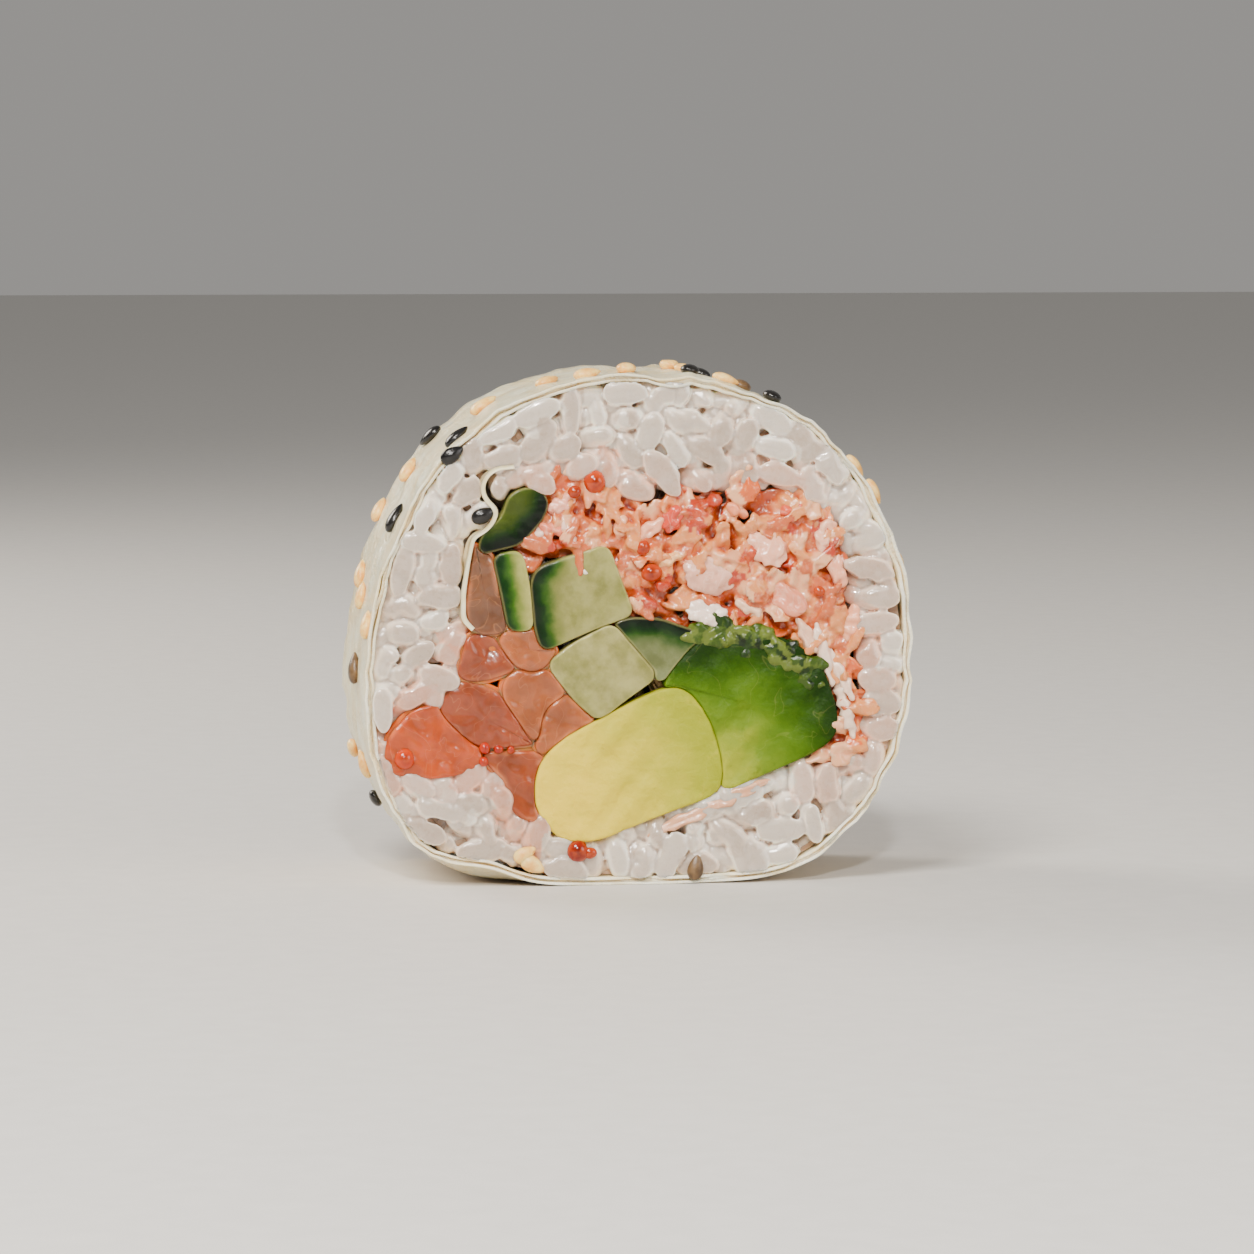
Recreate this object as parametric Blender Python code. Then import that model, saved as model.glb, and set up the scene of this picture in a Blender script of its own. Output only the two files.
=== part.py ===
"""Soy paper maki: one thick slice of a large sushi roll, standing on its flattened side.

Rice and fillings run through the slice from one cut face to the other, inside a wrapper of
thin pale soy paper with sesame seeds pressed onto it. Lengths are in millimetres and become
metres when a mesh is made. +X is right as seen from the front, the front cut face looks along
-Y, +Z is up, and the origin lies under the middle of the roll, on the surface it stands on.
"""

import math
import random

import bmesh
import bpy
import numpy as np
from mathutils import Matrix, Vector

MM = 0.001

# Driving dimensions
ROLL_DEPTH = 25.0
PAPER_THICKNESS = 0.9
PAPER_STEPS = 90
RICE_STEPS = 72
GAP = 0.3
RIM = 0.35

# Rice and crab lie back from the cut, so that their pieces stand out of them
CORE_RECESS = 1.0
GRAIN_LENGTH = 4.7
GRAIN_SEEN = (3.3, 4.7)
GRAIN_WIDTH = 2.8
GRAIN_SPACING = 2.6
GRAINS = 90
SHRED_LENGTH = (4.2, 7.0)
SHRED_WIDTH = 1.9
SHRED_SPACING = 2.7
SHREDS = 36
ROE_WIDTH = 2.2
SEED_LENGTH = 3.3
SEED_WIDTH = 2.0
SEED_HEIGHT = 1.2

# Rings of the small pieces: share of the length from the middle, and girth there
GRAIN_PROFILE = ((-0.5, 0.5), (0.0, 1.0), (0.5, 0.5))
SEED_PROFILE = ((-0.5, 0.5), (-0.12, 1.0), (0.5, 0.3))
ROE_PROFILE = ((-0.5, 0.35), (-0.25, 0.9), (0.25, 0.9), (0.5, 0.35))

# Half of the slice's depth: the two cut faces lie at -FACE and +FACE
FACE = ROLL_DEPTH / 2

# The paper ripples across the roll, bulges between the cuts, and its front edge lifts at the lower
# left, over the stretch LIFT_BAND behind the cut
RIPPLE = 0.14
BULGE = 0.25
LIFT = 1.5
LIFT_PLACE = -16.5
LIFT_REACH = 4.0
LIFT_TOP = 14.0
LIFT_BAND = 3.5
EDGE_BAND = 2.5
FOOT_EDGE = 1.0
RIPPLE_RISE = 4.0

# Control corners (x, z) of the paper's outer side, rounded to halfway along each edge
ROLL_CORNERS = [
    (-29.0, 20.5), (-27.7, 30.4), (-24.2, 39.8), (-17.5, 48.1), (-8.4, 52.3), (1.5, 53.0),
    (11.4, 51.5), (19.6, 47.0), (25.6, 38.8), (28.4, 28.0), (28.5, 18.0), (25.0, 8.0),
    (17.2, 1.2), (10.0, 0.0), (-13.0, 0.0), (-20.0, 1.2), (-25.7, 6.4), (-28.4, 14.0),
]

# Control corners of each filling's section, and how far its corners are rounded
AVOCADO_YELLOW = [
    (-4.6, 17.0), (-1.0, 18.9), (3.9, 20.8), (6.2, 18.4), (7.8, 15.0), (8.6, 9.6),
    (2.0, 7.3), (-5.5, 4.4), (-9.0, 5.0), (-11.2, 8.4), (-10.7, 12.8), (-8.0, 15.3),
]
AVOCADO_GREEN = [
    (1.9, 20.6), (6.2, 25.6), (10.0, 24.7), (14.6, 25.7), (18.6, 22.8), (20.2, 18.6),
    (20.6, 15.2), (17.8, 13.4), (8.0, 9.4), (6.0, 14.0),
]
CUCUMBERS = [
    [(-9.8, 22.9), (-7.4, 24.9), (-3.1, 27.1), (1.6, 21.6), (-1.6, 19.4), (-4.5, 17.1), (-6.9, 19.2)],
    [(-3.3, 26.8), (-1.6, 27.6), (1.8, 27.5), (6.3, 25.9), (5.9, 24.1), (1.7, 20.9), (-1.0, 23.0)],
    [(-11.5, 31.6), (-10.6, 33.0), (-3.6, 35.2), (-0.9, 28.0), (-4.6, 26.8), (-10.3, 24.4), (-11, 26.4)],
    [(-15.4, 34.2), (-12.5, 34.7), (-11.7, 31.0), (-11.2, 26.6), (-13.8, 26.5), (-14.4, 29.8)],
    [
        (-13.6, 40.6), (-11.4, 41.2), (-9.7, 40.2), (-10.1, 38.2), (-12.6, 35.4), (-16.9, 34.4),
        (-16.6, 36.4), (-14.5, 38.0),
    ],
]
SALMON = [
    [(-17.1, 36.0), (-15.6, 34.3), (-14.6, 30.5), (-13.9, 26.3), (-17.2, 26.2), (-18.3, 28.4), (-17.7, 32)],
    [(-15.1, 25.9), (-11.1, 27.1), (-8.6, 24.7), (-9.8, 22.6), (-12.4, 22.2), (-13.9, 23.9)],
    [(-17.9, 26.3), (-15.4, 25.9), (-12.6, 22.6), (-16.8, 21.2), (-19.2, 21.7)],
    [(-14.7, 20.2), (-13.6, 22.3), (-9.7, 22.6), (-7.5, 20.3), (-10.3, 18.4), (-11.0, 14.6)],
    [(-10.5, 18.6), (-7.8, 20.4), (-4.2, 17.0), (-8.6, 14.4), (-10.5, 13.3), (-11.2, 15.0)],
    [(-21.2, 18.8), (-18.5, 21.6), (-14.6, 20.0), (-10.6, 14.8), (-16.8, 14.4), (-19.4, 16.6)],
    [(-26.6, 12.0), (-26.4, 15.4), (-23.6, 18.5), (-20.8, 19.0), (-16.8, 15.2), (-16.6, 12.4), (-21, 11.4)],
    [(-17.0, 13.9), (-9.4, 13.9), (-10.6, 9.0), (-9.9, 6.8), (-13.1, 7.1), (-14.0, 10.8)],
]
CRAB = [
    (-16.0, 34.6), (-12.8, 38.0), (-11.4, 41.8), (-7.5, 44.0), (-3.4, 43.2), (-0.4, 40.6),
    (5.0, 41.2), (11.8, 42.0), (17.4, 40.4), (21.4, 36.0), (22.0, 28.0), (22.6, 20.0),
    (24.4, 14.2), (21.0, 12.6), (18.0, 20.0), (8.0, 24.0), (-1.5, 25.0), (-4.0, 33.0),
    (-10.0, 32.0),
]
FILM_PATH = [
    (-14.0, 42.9), (-16.6, 42.0), (-16.2, 39.9), (-14.6, 38.9), (-15.9, 37.0), (-18.3, 36.0),
    (-18.3, 32.0), (-18.9, 27.6),
]
FILM_THICKNESS = 0.5

# Seeds that the front shows: share of the way round the paper, clockwise from the left, place
# along the roll, turn in degrees
SEEDS = [
    (0.268, -3.0, 60), (0.240, -9.6, 20), (0.300, 4.0, 85), (0.303, -7.5, 75), (0.322, -10.2, 10),
    (0.308, 1.0, 40), (0.219, -6.0, 35), (0.182, -1.5, 15), (0.156, -10.0, 5), (0.126, 4.0, 30),
    (0.098, -6.5, 10), (0.059, 5.5, 20), (0.048, 1.0, 0), (0.036, -10.3, 25), (0.335, -7.0, 70),
    (0.350, -10.4, 85), (0.415, -9.0, 20), (0.432, -10.5, 10), (0.478, -8.5, 15), (0.008, -4.0, 12),
]
MORE_SEEDS = 18
SEED_CLEAR = (0.029, 4.5)
SEED_FLOOR = 4.0
ROE_IN_CRAB = [(-5.0, 41.6), (1.0, 32.3)]
ROE_IN_RICE = [(-6.6, 2.7)]
ROE_IN_SALMON = [(-24.6, 13.2)]


def clear_scene():
    for obj in list(bpy.data.objects):
        bpy.data.objects.remove(obj)


def linear(shade):
    """A colour as seen, 0 to 255 a channel, as the linear value that a shader takes."""
    return tuple((channel / 255) ** 2.2 for channel in shade)


def new_material(name, shade, roughness, subsurface=0.0):
    material = bpy.data.materials.new(name)
    material.use_nodes = True
    shader = material.node_tree.nodes["Principled BSDF"]
    shader.inputs["Base Color"].default_value = (*linear(shade), 1.0)
    shader.inputs["Roughness"].default_value = roughness
    shader.inputs["Metallic"].default_value = 0.0
    shader.inputs["Subsurface Weight"].default_value = subsurface
    material.diffuse_color = (*linear(shade), 1.0)
    return material


# Outlines in the plane of the cut


def rounded(corners, radius, steps=2):
    """A closed outline whose corners become arcs, each at most half of its edges long."""
    corners = [Vector(corner) for corner in corners]
    outline = []
    for before, corner, after in zip(corners[-1:] + corners, corners, corners[1:] + corners[:1]):
        start = corner.lerp(before, min(0.5, radius / (before - corner).length))
        end = corner.lerp(after, min(0.5, radius / (after - corner).length))
        for step in range(steps + 1):
            share = step / steps
            point = start.lerp(corner, share).lerp(corner.lerp(end, share), share)
            if not outline or (point - outline[-1]).length > 1e-3:
                outline.append(point)
    if (outline[0] - outline[-1]).length < 1e-3:
        outline.pop()
    return np.array([tuple(point) for point in counterclockwise(outline)])


def counterclockwise(outline):
    area = sum(
        a[0] * b[1] - b[0] * a[1] for a, b in zip(outline, list(outline[1:]) + [outline[0]])
    )
    return outline if area > 0 else list(reversed(outline))


def evenly(outline, count):
    """The same closed outline through `count` points at equal steps along it."""
    closed = np.vstack([outline, outline[:1]])
    along = np.concatenate([[0.0], np.cumsum(np.linalg.norm(np.diff(closed, axis=0), axis=1))])
    wanted = np.linspace(0.0, along[-1], count, endpoint=False)
    return np.column_stack([np.interp(wanted, along, closed[:, axis]) for axis in (0, 1)])


def outward(outline):
    """The unit normal at each point of a counterclockwise outline."""
    along = np.roll(outline, -1, axis=0) - np.roll(outline, 1, axis=0)
    normal = np.column_stack([along[:, 1], -along[:, 0]])
    return normal / np.linalg.norm(normal, axis=1)[:, None]


def grown(outline, distance):
    """The outline moved outwards by the distance, with each corner kept as sharp as it is."""
    back = outline - np.roll(outline, 1, axis=0)
    ahead = np.roll(outline, -1, axis=0) - outline
    back_normal = np.column_stack([back[:, 1], -back[:, 0]]) / np.linalg.norm(back, axis=1)[:, None]
    ahead_normal = np.column_stack([ahead[:, 1], -ahead[:, 0]]) / np.linalg.norm(ahead, axis=1)[:, None]
    middle = back_normal + ahead_normal
    reach = np.maximum((middle * back_normal).sum(axis=1), 0.5)
    return outline + middle * (distance / reach)[:, None]


def band(path, thickness, steps=3):
    """The outline of a strip of even thickness that follows an open path."""
    points = [Vector(point) for point in path]
    curve = [points[0]]
    for before, corner, after in zip(points, points[1:], points[2:]):
        start = (before + corner) / 2
        end = (corner + after) / 2
        for step in range(steps + 1):
            share = step / steps
            curve.append(start.lerp(corner, share).lerp(corner.lerp(end, share), share))
    curve.append(points[-1])
    curve = [b for a, b in zip([None] + curve, curve) if a is None or (b - a).length > 1e-3]
    sides = ([], [])
    for index, point in enumerate(curve):
        along = curve[min(index + 1, len(curve) - 1)] - curve[max(index - 1, 0)]
        across = Vector((-along.y, along.x)).normalized() * thickness / 2
        sides[0].append(point + across)
        sides[1].append(point - across)
    return np.array([tuple(point) for point in counterclockwise(sides[0] + sides[1][::-1])])


# Meshes


def new_object(name, bm, material):
    """A smooth-shaded object from a bmesh in millimetres."""
    bmesh.ops.triangulate(bm, faces=bm.faces[:])
    bmesh.ops.recalc_face_normals(bm, faces=bm.faces[:])
    bmesh.ops.scale(bm, vec=(MM, MM, MM), verts=bm.verts[:])
    mesh = bpy.data.meshes.new(name)
    bm.to_mesh(mesh)
    bm.free()
    mesh.materials.append(material)
    obj = bpy.data.objects.new(name, mesh)
    bpy.context.scene.collection.objects.link(obj)
    return obj


def ring_of(bm, outline, y):
    return [bm.verts.new((x, y, z)) for x, z in outline]


def join_rings(bm, first, second):
    for a, b, c, d in zip(first, first[1:] + first[:1], second[1:] + second[:1], second):
        bm.faces.new((a, b, c, d))


def prism(name, outline, half_depth, material, rim=RIM):
    """A solid with the given section from one cut face to the other, its rims eased by `rim`."""
    bm = bmesh.new()
    if rim:
        sections = [
            ring_of(bm, grown(outline, -rim), -half_depth),
            ring_of(bm, outline, -half_depth + rim),
            ring_of(bm, outline, half_depth - rim),
            ring_of(bm, grown(outline, -rim), half_depth),
        ]
    else:
        sections = [ring_of(bm, outline, -half_depth), ring_of(bm, outline, half_depth)]
    for first, second in zip(sections, sections[1:]):
        join_rings(bm, first, second)
    bm.faces.new(sections[0])
    bm.faces.new(sections[-1])
    return new_object(name, bm, material)


def bead(name, size, place, turn, material, profile, sides=6):
    """A grain, seed or bead: blunt rings along its own X before the turn, as (place, girth)."""
    bm = bmesh.new()
    sections = []
    for along, girth in profile:
        section = []
        for side in range(sides):
            angle = 2 * math.pi * (side + 0.5) / sides
            across = 0.5 * girth * size[1] * math.cos(angle)
            above = 0.5 * girth * size[2] * math.sin(angle)
            section.append(bm.verts.new((along * size[0], across, above)))
        sections.append(section)
    for first, second in zip(sections, sections[1:]):
        join_rings(bm, first, second)
    bm.faces.new(sections[0])
    bm.faces.new(sections[-1])
    bmesh.ops.transform(bm, matrix=Matrix.Translation(place) @ turn, verts=bm.verts[:])
    return new_object(name, bm, material)


def shred(name, length, width, place, turn, material, bend):
    """A strip of crab: a four-sided bar in two lengths, bent and thinner at its ends."""
    bm = bmesh.new()
    sections = []
    for along, girth in ((-0.5, 0.55), (0.0, 1.0), (0.5, 0.5)):
        half = width * girth / 2
        lift = bend * (0.25 - along * along)
        corners = ((-half, -half * 0.7), (half, -half * 0.7), (half, half * 0.7), (-half, half * 0.7))
        sections.append([bm.verts.new((along * length, a, b + lift)) for a, b in corners])
    for first, second in zip(sections, sections[1:]):
        join_rings(bm, first, second)
    bm.faces.new(sections[0])
    bm.faces.new(sections[-1])
    bmesh.ops.transform(bm, matrix=Matrix.Translation(place) @ turn, verts=bm.verts[:])
    return new_object(name, bm, material)


def combine(obj, others, operation, solver="EXACT"):
    """One Boolean of the object with a collection of others, which are then removed."""
    group = bpy.data.collections.new(obj.name + "_group")
    bpy.context.scene.collection.children.link(group)
    for other in others:
        bpy.context.scene.collection.objects.unlink(other)
        group.objects.link(other)
    boolean = obj.modifiers.new("Boolean", "BOOLEAN")
    boolean.operation = operation
    boolean.operand_type = "COLLECTION"
    boolean.collection = group
    boolean.solver = solver
    graph = bpy.context.evaluated_depsgraph_get()
    made = bpy.data.meshes.new_from_object(obj.evaluated_get(graph))
    obj.modifiers.clear()
    obj.data = made
    for other in list(group.objects):
        bpy.data.objects.remove(other)
    bpy.data.collections.remove(group)
    keep_largest(obj)


def keep_largest(obj):
    """Drops loose scraps: of the object's separate shells only the one of most faces stays."""
    bm = bmesh.new()
    bm.from_mesh(obj.data)
    left = set(bm.faces)
    shells = []
    while left:
        shell = {left.pop()}
        edge_of_shell = list(shell)
        while edge_of_shell:
            face = edge_of_shell.pop()
            near = {other for edge in face.edges for other in edge.link_faces} & left
            left -= near
            shell |= near
            edge_of_shell.extend(near)
        shells.append(shell)
    largest = max(shells, key=len)
    scraps = [face for shell in shells if shell is not largest for face in shell]
    bmesh.ops.delete(bm, geom=scraps, context="FACES")
    bmesh.ops.triangulate(bm, faces=bm.faces[:])
    bm.to_mesh(obj.data)
    bm.free()


def smooth(obj, angle=35):
    obj.data.shade_smooth()
    obj.data.set_sharp_from_angle(angle=math.radians(angle))


# Where pieces may lie


class Room:
    """The part of the cut face inside one outline and outside others."""

    def __init__(self, outline, others):
        self.outline = outline
        outlines = [outline, *others]
        self.starts = np.cumsum([0] + [len(each) for each in outlines[:-1]])
        self.ax, self.az = np.vstack(outlines).T
        self.bx, self.bz = np.vstack([np.roll(each, -1, axis=0) for each in outlines]).T

    def holds(self, points):
        """Whether all points lie in the room: a ray from each crosses each outline in turn."""
        x, z = points[:, :1], points[:, 1:]
        rise = np.where(self.bz == self.az, 1.0, self.bz - self.az)
        meets = self.ax + (self.bx - self.ax) * (z - self.az) / rise
        crosses = ((self.az > z) != (self.bz > z)) & (x < meets)
        within = np.add.reduceat(crosses, self.starts, axis=1) % 2 == 1
        return bool(within[:, 0].all() and not within[:, 1:].any())


def footprint(place, half_length, half_width, angle):
    """Points on four rings over the ellipse that a piece covers on the cut face."""
    share, turn = np.meshgrid(np.linspace(0.25, 1, 4), np.linspace(0, 2 * math.pi, 12, endpoint=False))
    along = half_length * (share * np.cos(turn)).ravel()
    across = half_width * (share * np.sin(turn)).ravel()
    return np.column_stack([
        place[0] + along * math.cos(angle) - across * math.sin(angle),
        place[1] + along * math.sin(angle) + across * math.cos(angle),
    ])


def placed(room, lengths, width, spacing, rng, tries):
    """Places, lengths and angles for pieces that fit in the room, the longest first."""
    low = room.outline.min(axis=0)
    high = room.outline.max(axis=0)
    found = []
    for length in sorted(lengths, reverse=True):
        for _ in range(tries):
            place = (rng.uniform(low[0], high[0]), rng.uniform(low[1], high[1]))
            if any(math.dist(place, other) < spacing for other, _, _ in found):
                continue
            angle = rng.uniform(0, math.pi)
            if room.holds(footprint(place, length / 2, width / 2, angle)):
                found.append((place, length, angle))
                break
    return found


# The pieces of the roll


def lifted(outline):
    """The outline with the stretch at the lower left raised, as the front edge is."""
    x, z = outline.T
    low = np.clip((LIFT_TOP - z) / (0.7 * LIFT_TOP), 0.0, 1.0)
    raised = LIFT * np.exp(-(((x - LIFT_PLACE) / LIFT_REACH) ** 2)) * low
    return np.column_stack([x, z + raised])


def roll_outline():
    """The paper's outer side, rounded from the middle of one edge of its corners to the next."""
    return rounded(ROLL_CORNERS, ROLL_DEPTH, 4)


def make_wrapper(material):
    """The paper as one closed band with a rippled outer side, and the seeds pressed onto it."""
    count = PAPER_STEPS
    outline = evenly(roll_outline(), count)
    inner = grown(evenly(lifted(outline), count), -PAPER_THICKNESS)
    normal = outward(outline)
    free = np.clip((outline[:, 1] - FOOT_EDGE) / RIPPLE_RISE, 0.0, 1.0)
    around = np.arange(count) / count * 2 * math.pi
    bm = bmesh.new()
    rows = []
    for y in (-FACE, -FACE + EDGE_BAND, -FACE / 4, FACE / 4, FACE - EDGE_BAND, FACE):
        wave = np.sin(17 * around + 0.25 * y) + 0.8 * np.sin(29 * around - 0.33 * y + 1.0)
        bulge = BULGE * (1 - (y / FACE) ** 2)
        front = max(0.0, 1 - (y + FACE) / LIFT_BAND)
        raised = lifted(outline)[:, 1] - outline[:, 1]
        row = outline + normal * ((RIPPLE * wave + bulge) * free)[:, None]
        row[:, 1] = np.maximum(row[:, 1] + raised * front, 0.0)
        rows.append(ring_of(bm, row, y))
    far = ring_of(bm, inner, FACE)
    near = ring_of(bm, inner, -FACE)
    loop = rows + [far, near]
    for first, second in zip(loop, loop[1:] + loop[:1]):
        join_rings(bm, first, second)
    wrapper = new_object("wrapper", bm, material)
    combine(wrapper, make_seeds(outline, normal, material), "UNION", "MANIFOLD")
    return wrapper


def make_seeds(outline, normal, material):
    rng = random.Random(11)
    seeds = list(SEEDS)
    while len(seeds) < len(SEEDS) + MORE_SEEDS:
        share = rng.uniform(0.0, 0.97)
        y = rng.uniform(-FACE + SEED_WIDTH, FACE - SEED_WIDTH)
        near_front = share < 0.5 and y < FACE / 2
        too_near = any(
            abs(share - other) < SEED_CLEAR[0] and abs(y - other_y) < SEED_CLEAR[1]
            for other, other_y, _ in seeds
        )
        if not near_front and not too_near:
            seeds.append((share, y, rng.uniform(0, 180)))
    pieces = []
    for number, (share, y, turn) in enumerate(seeds):
        place, out = on_paper(outline, normal, share)
        if place[1] < SEED_FLOOR:
            continue
        across = Vector((0.0, 1.0, 0.0))
        away = Vector((out[0], 0.0, out[1]))
        along = across.cross(away)
        frame = Matrix((along, across, away)).transposed().to_4x4()
        spot = Vector((place[0], y, place[1])) + away * (SEED_HEIGHT * 0.28)
        size = (SEED_LENGTH, SEED_WIDTH, SEED_HEIGHT)
        spin = frame @ Matrix.Rotation(math.radians(turn), 4, "Z")
        pieces.append(bead(f"seed_{number}", size, spot, spin, material, SEED_PROFILE, 5))
    return pieces


def on_paper(outline, normal, share):
    """The point and the outward direction at a share of the way round, clockwise from the left."""
    start = int(np.argmin(outline[:, 0]))
    index = (start - share * len(outline)) % len(outline)
    low = int(index)
    high = (low + 1) % len(outline)
    part = index - low
    place = outline[low] * (1 - part) + outline[high] * part
    out = normal[low] * (1 - part) + normal[high] * part
    return place, out / np.linalg.norm(out)


def on_both_faces(depth):
    return ((-1, -FACE + depth), (1, FACE - depth))


def make_filling(name, outline, taken, material, half_depth=FACE - 0.1, rim=RIM):
    """A filling that runs through the roll, cut clear of those made before it."""
    piece = prism(name, outline, half_depth, material, rim)
    near = [
        other for other in taken
        if (other.min(axis=0) < outline.max(axis=0) + GAP).all()
        and (other.max(axis=0) > outline.min(axis=0) - GAP).all()
    ]
    if near:
        cutters = [
            prism(f"{name}_cutter_{number}", grown(other, GAP), FACE + 2, material, 0)
            for number, other in enumerate(near)
        ]
        combine(piece, cutters, "DIFFERENCE")
    taken.append(outline)
    return piece


def make_crab(taken, material):
    """The crab salad: a core set back from the cut, with shreds and two beads of roe on it."""
    outline = rounded(CRAB, 2.0)
    before = [grown(other, GAP) for other in taken]
    crab = make_filling("crab", outline, taken, material, FACE - CORE_RECESS)
    room = Room(grown(outline, -GAP), before)
    rng = random.Random(5)
    pieces = []
    for side, y in on_both_faces(CORE_RECESS - 0.1):
        lengths = [rng.uniform(*SHRED_LENGTH) for _ in range(SHREDS)]
        for place, length, angle in placed(room, lengths, SHRED_WIDTH, SHRED_SPACING, rng, 200):
            turn = Matrix.Rotation(-angle, 4, "Y")
            turn @= Matrix.Rotation(rng.uniform(-0.25, 0.25), 4, "Z")
            turn @= Matrix.Rotation(rng.uniform(0, math.pi), 4, "X")
            spot = Vector((place[0], y, place[1]))
            width = SHRED_WIDTH * rng.uniform(0.85, 1.1)
            bend = rng.uniform(-0.5, 0.5)
            pieces.append(shred(f"shred_{len(pieces)}", length, width, spot, turn, material, bend))
    pieces += make_roe(ROE_IN_CRAB, material, CORE_RECESS)
    combine(crab, pieces, "UNION", "MANIFOLD")
    return crab


def make_roe(places, material, recess):
    return [
        bead(
            f"roe_{number}", (ROE_WIDTH,) * 3, Vector((x, -FACE + recess - 0.1, z)),
            Matrix.Identity(4), material, ROE_PROFILE,
        )
        for number, (x, z) in enumerate(places)
    ]


def make_rice(room_outline, taken, material):
    """The rice: a core round all the fillings, with the grains that show at both cuts on it."""
    rice = make_filling("rice", room_outline, list(taken), material, FACE - CORE_RECESS)
    room = Room(grown(room_outline, -0.1), [grown(other, GAP) for other in taken])
    rng = random.Random(3)
    pieces = []
    for side, y in on_both_faces(CORE_RECESS):
        seen = [rng.uniform(*GRAIN_SEEN) for _ in range(GRAINS)]
        for place, length, angle in placed(room, seen, GRAIN_WIDTH, GRAIN_SPACING, rng, 400):
            # A grain seen shorter than it is stands partly end on, with its near tip at the cut
            tilt = math.acos(min(1.0, length / GRAIN_LENGTH))
            turn = Matrix.Rotation(-angle, 4, "Y") @ Matrix.Rotation(tilt, 4, "Z")
            width = GRAIN_WIDTH * rng.uniform(0.88, 1.0)
            sunk = 0.5 * (GRAIN_LENGTH - width) * math.sin(tilt)
            spot = Vector((place[0], y - side * sunk, place[1]))
            size = (GRAIN_LENGTH, width, width)
            pieces.append(bead(f"grain_{len(pieces)}", size, spot, turn, material, GRAIN_PROFILE))
    pieces += make_roe(ROE_IN_RICE, material, CORE_RECESS)
    combine(rice, pieces, "UNION", "MANIFOLD")
    return rice


def build():
    clear_scene()
    paper = new_material("soy_paper", (228, 218, 203), 0.45, 0.3)
    rice_white = new_material("rice_white", (222, 213, 205), 0.35, 0.4)
    crab_pink = new_material("crab_pink", (224, 165, 140), 0.4, 0.3)
    cucumber_green = new_material("cucumber_green", (150, 160, 105), 0.3, 0.3)
    avocado_yellow = new_material("avocado_yellow", (212, 200, 130), 0.45, 0.2)
    avocado_green = new_material("avocado_green", (124, 150, 60), 0.45, 0.2)
    salmon_orange = new_material("salmon_orange", (200, 115, 80), 0.3, 0.4)
    film_white = new_material("film_white", (225, 215, 195), 0.4, 0.3)

    rice_room = grown(evenly(lifted(roll_outline()), RICE_STEPS), -PAPER_THICKNESS - GAP)

    taken = []
    pieces = [
        make_wrapper(paper),
        make_filling("avocado_yellow", rounded(AVOCADO_YELLOW, 1.8), taken, avocado_yellow),
        make_filling("avocado_green", rounded(AVOCADO_GREEN, 1.6), taken, avocado_green),
    ]
    for number, corners in enumerate(CUCUMBERS, 1):
        outline = rounded(corners, 0.55, 1)
        pieces.append(make_filling(f"cucumber_{number}", outline, taken, cucumber_green))
    film = band(FILM_PATH, FILM_THICKNESS)
    pieces.append(make_filling("inner_film", film, taken, film_white, FACE + 0.1, 0))
    for number, corners in enumerate(SALMON, 1):
        outline = rounded(corners, 0.7, 1)
        half_depth = FACE - 0.15 - 0.1 * (number % 3)
        piece = make_filling(f"salmon_{number}", outline, taken, salmon_orange, half_depth)
        if number == len(SALMON) - 1:
            combine(piece, make_roe(ROE_IN_SALMON, salmon_orange, 0.4), "UNION")
        pieces.append(piece)
    pieces.append(make_crab(taken, crab_pink))
    pieces.append(make_rice(rice_room, taken, rice_white))
    for piece in pieces:
        smooth(piece)


build()
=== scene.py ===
"""The looks of a slice of soy paper maki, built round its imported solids.

The outlines of the fillings are read from the frame's solids, and every piece is made again over
them as fine meshes with procedural materials: grains of rice, shreds of crab, cut cucumber,
avocado and salmon, a wrapper of several thin layers of paper, and sesame seeds. Lengths here are
in millimetres and become metres when a mesh is made.
"""

import math
import random

import bmesh
import bpy
import numpy as np
from mathutils import Matrix, Vector
from mathutils.kdtree import KDTree


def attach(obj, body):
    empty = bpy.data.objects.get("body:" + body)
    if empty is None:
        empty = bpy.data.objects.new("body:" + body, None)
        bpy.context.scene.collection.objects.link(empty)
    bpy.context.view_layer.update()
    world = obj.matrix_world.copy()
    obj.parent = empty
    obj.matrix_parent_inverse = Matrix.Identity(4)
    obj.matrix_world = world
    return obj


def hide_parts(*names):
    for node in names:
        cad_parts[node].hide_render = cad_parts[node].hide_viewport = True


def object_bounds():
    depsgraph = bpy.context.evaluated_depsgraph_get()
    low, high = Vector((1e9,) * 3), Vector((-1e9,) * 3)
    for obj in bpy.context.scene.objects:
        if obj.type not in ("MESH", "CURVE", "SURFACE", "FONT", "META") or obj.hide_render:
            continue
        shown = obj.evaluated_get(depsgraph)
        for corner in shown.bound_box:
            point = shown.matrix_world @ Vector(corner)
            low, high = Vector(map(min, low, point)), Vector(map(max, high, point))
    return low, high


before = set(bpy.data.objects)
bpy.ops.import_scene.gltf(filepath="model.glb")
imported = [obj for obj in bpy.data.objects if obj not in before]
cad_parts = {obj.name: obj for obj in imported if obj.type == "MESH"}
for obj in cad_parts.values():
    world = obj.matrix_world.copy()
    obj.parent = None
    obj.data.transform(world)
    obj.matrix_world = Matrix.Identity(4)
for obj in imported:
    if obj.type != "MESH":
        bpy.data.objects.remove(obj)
cad_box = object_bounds()

MM = 0.001
FACE = 12.5

# The camera stands where the photo's did: to the left of the roll's axis and a little above it
CAMERA_AZIMUTH = -8.0
CAMERA_ELEVATION = 4.8
CAMERA_DISTANCE = 0.55
CAMERA_TARGET = (0.00016, 0.0, 0.0257)
CAMERA_LENS = 150.0


# Camera, floor and light


def aim(obj, target):
    obj.rotation_euler = (Vector(target) - obj.location).to_track_quat("-Z", "Y").to_euler()


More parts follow.
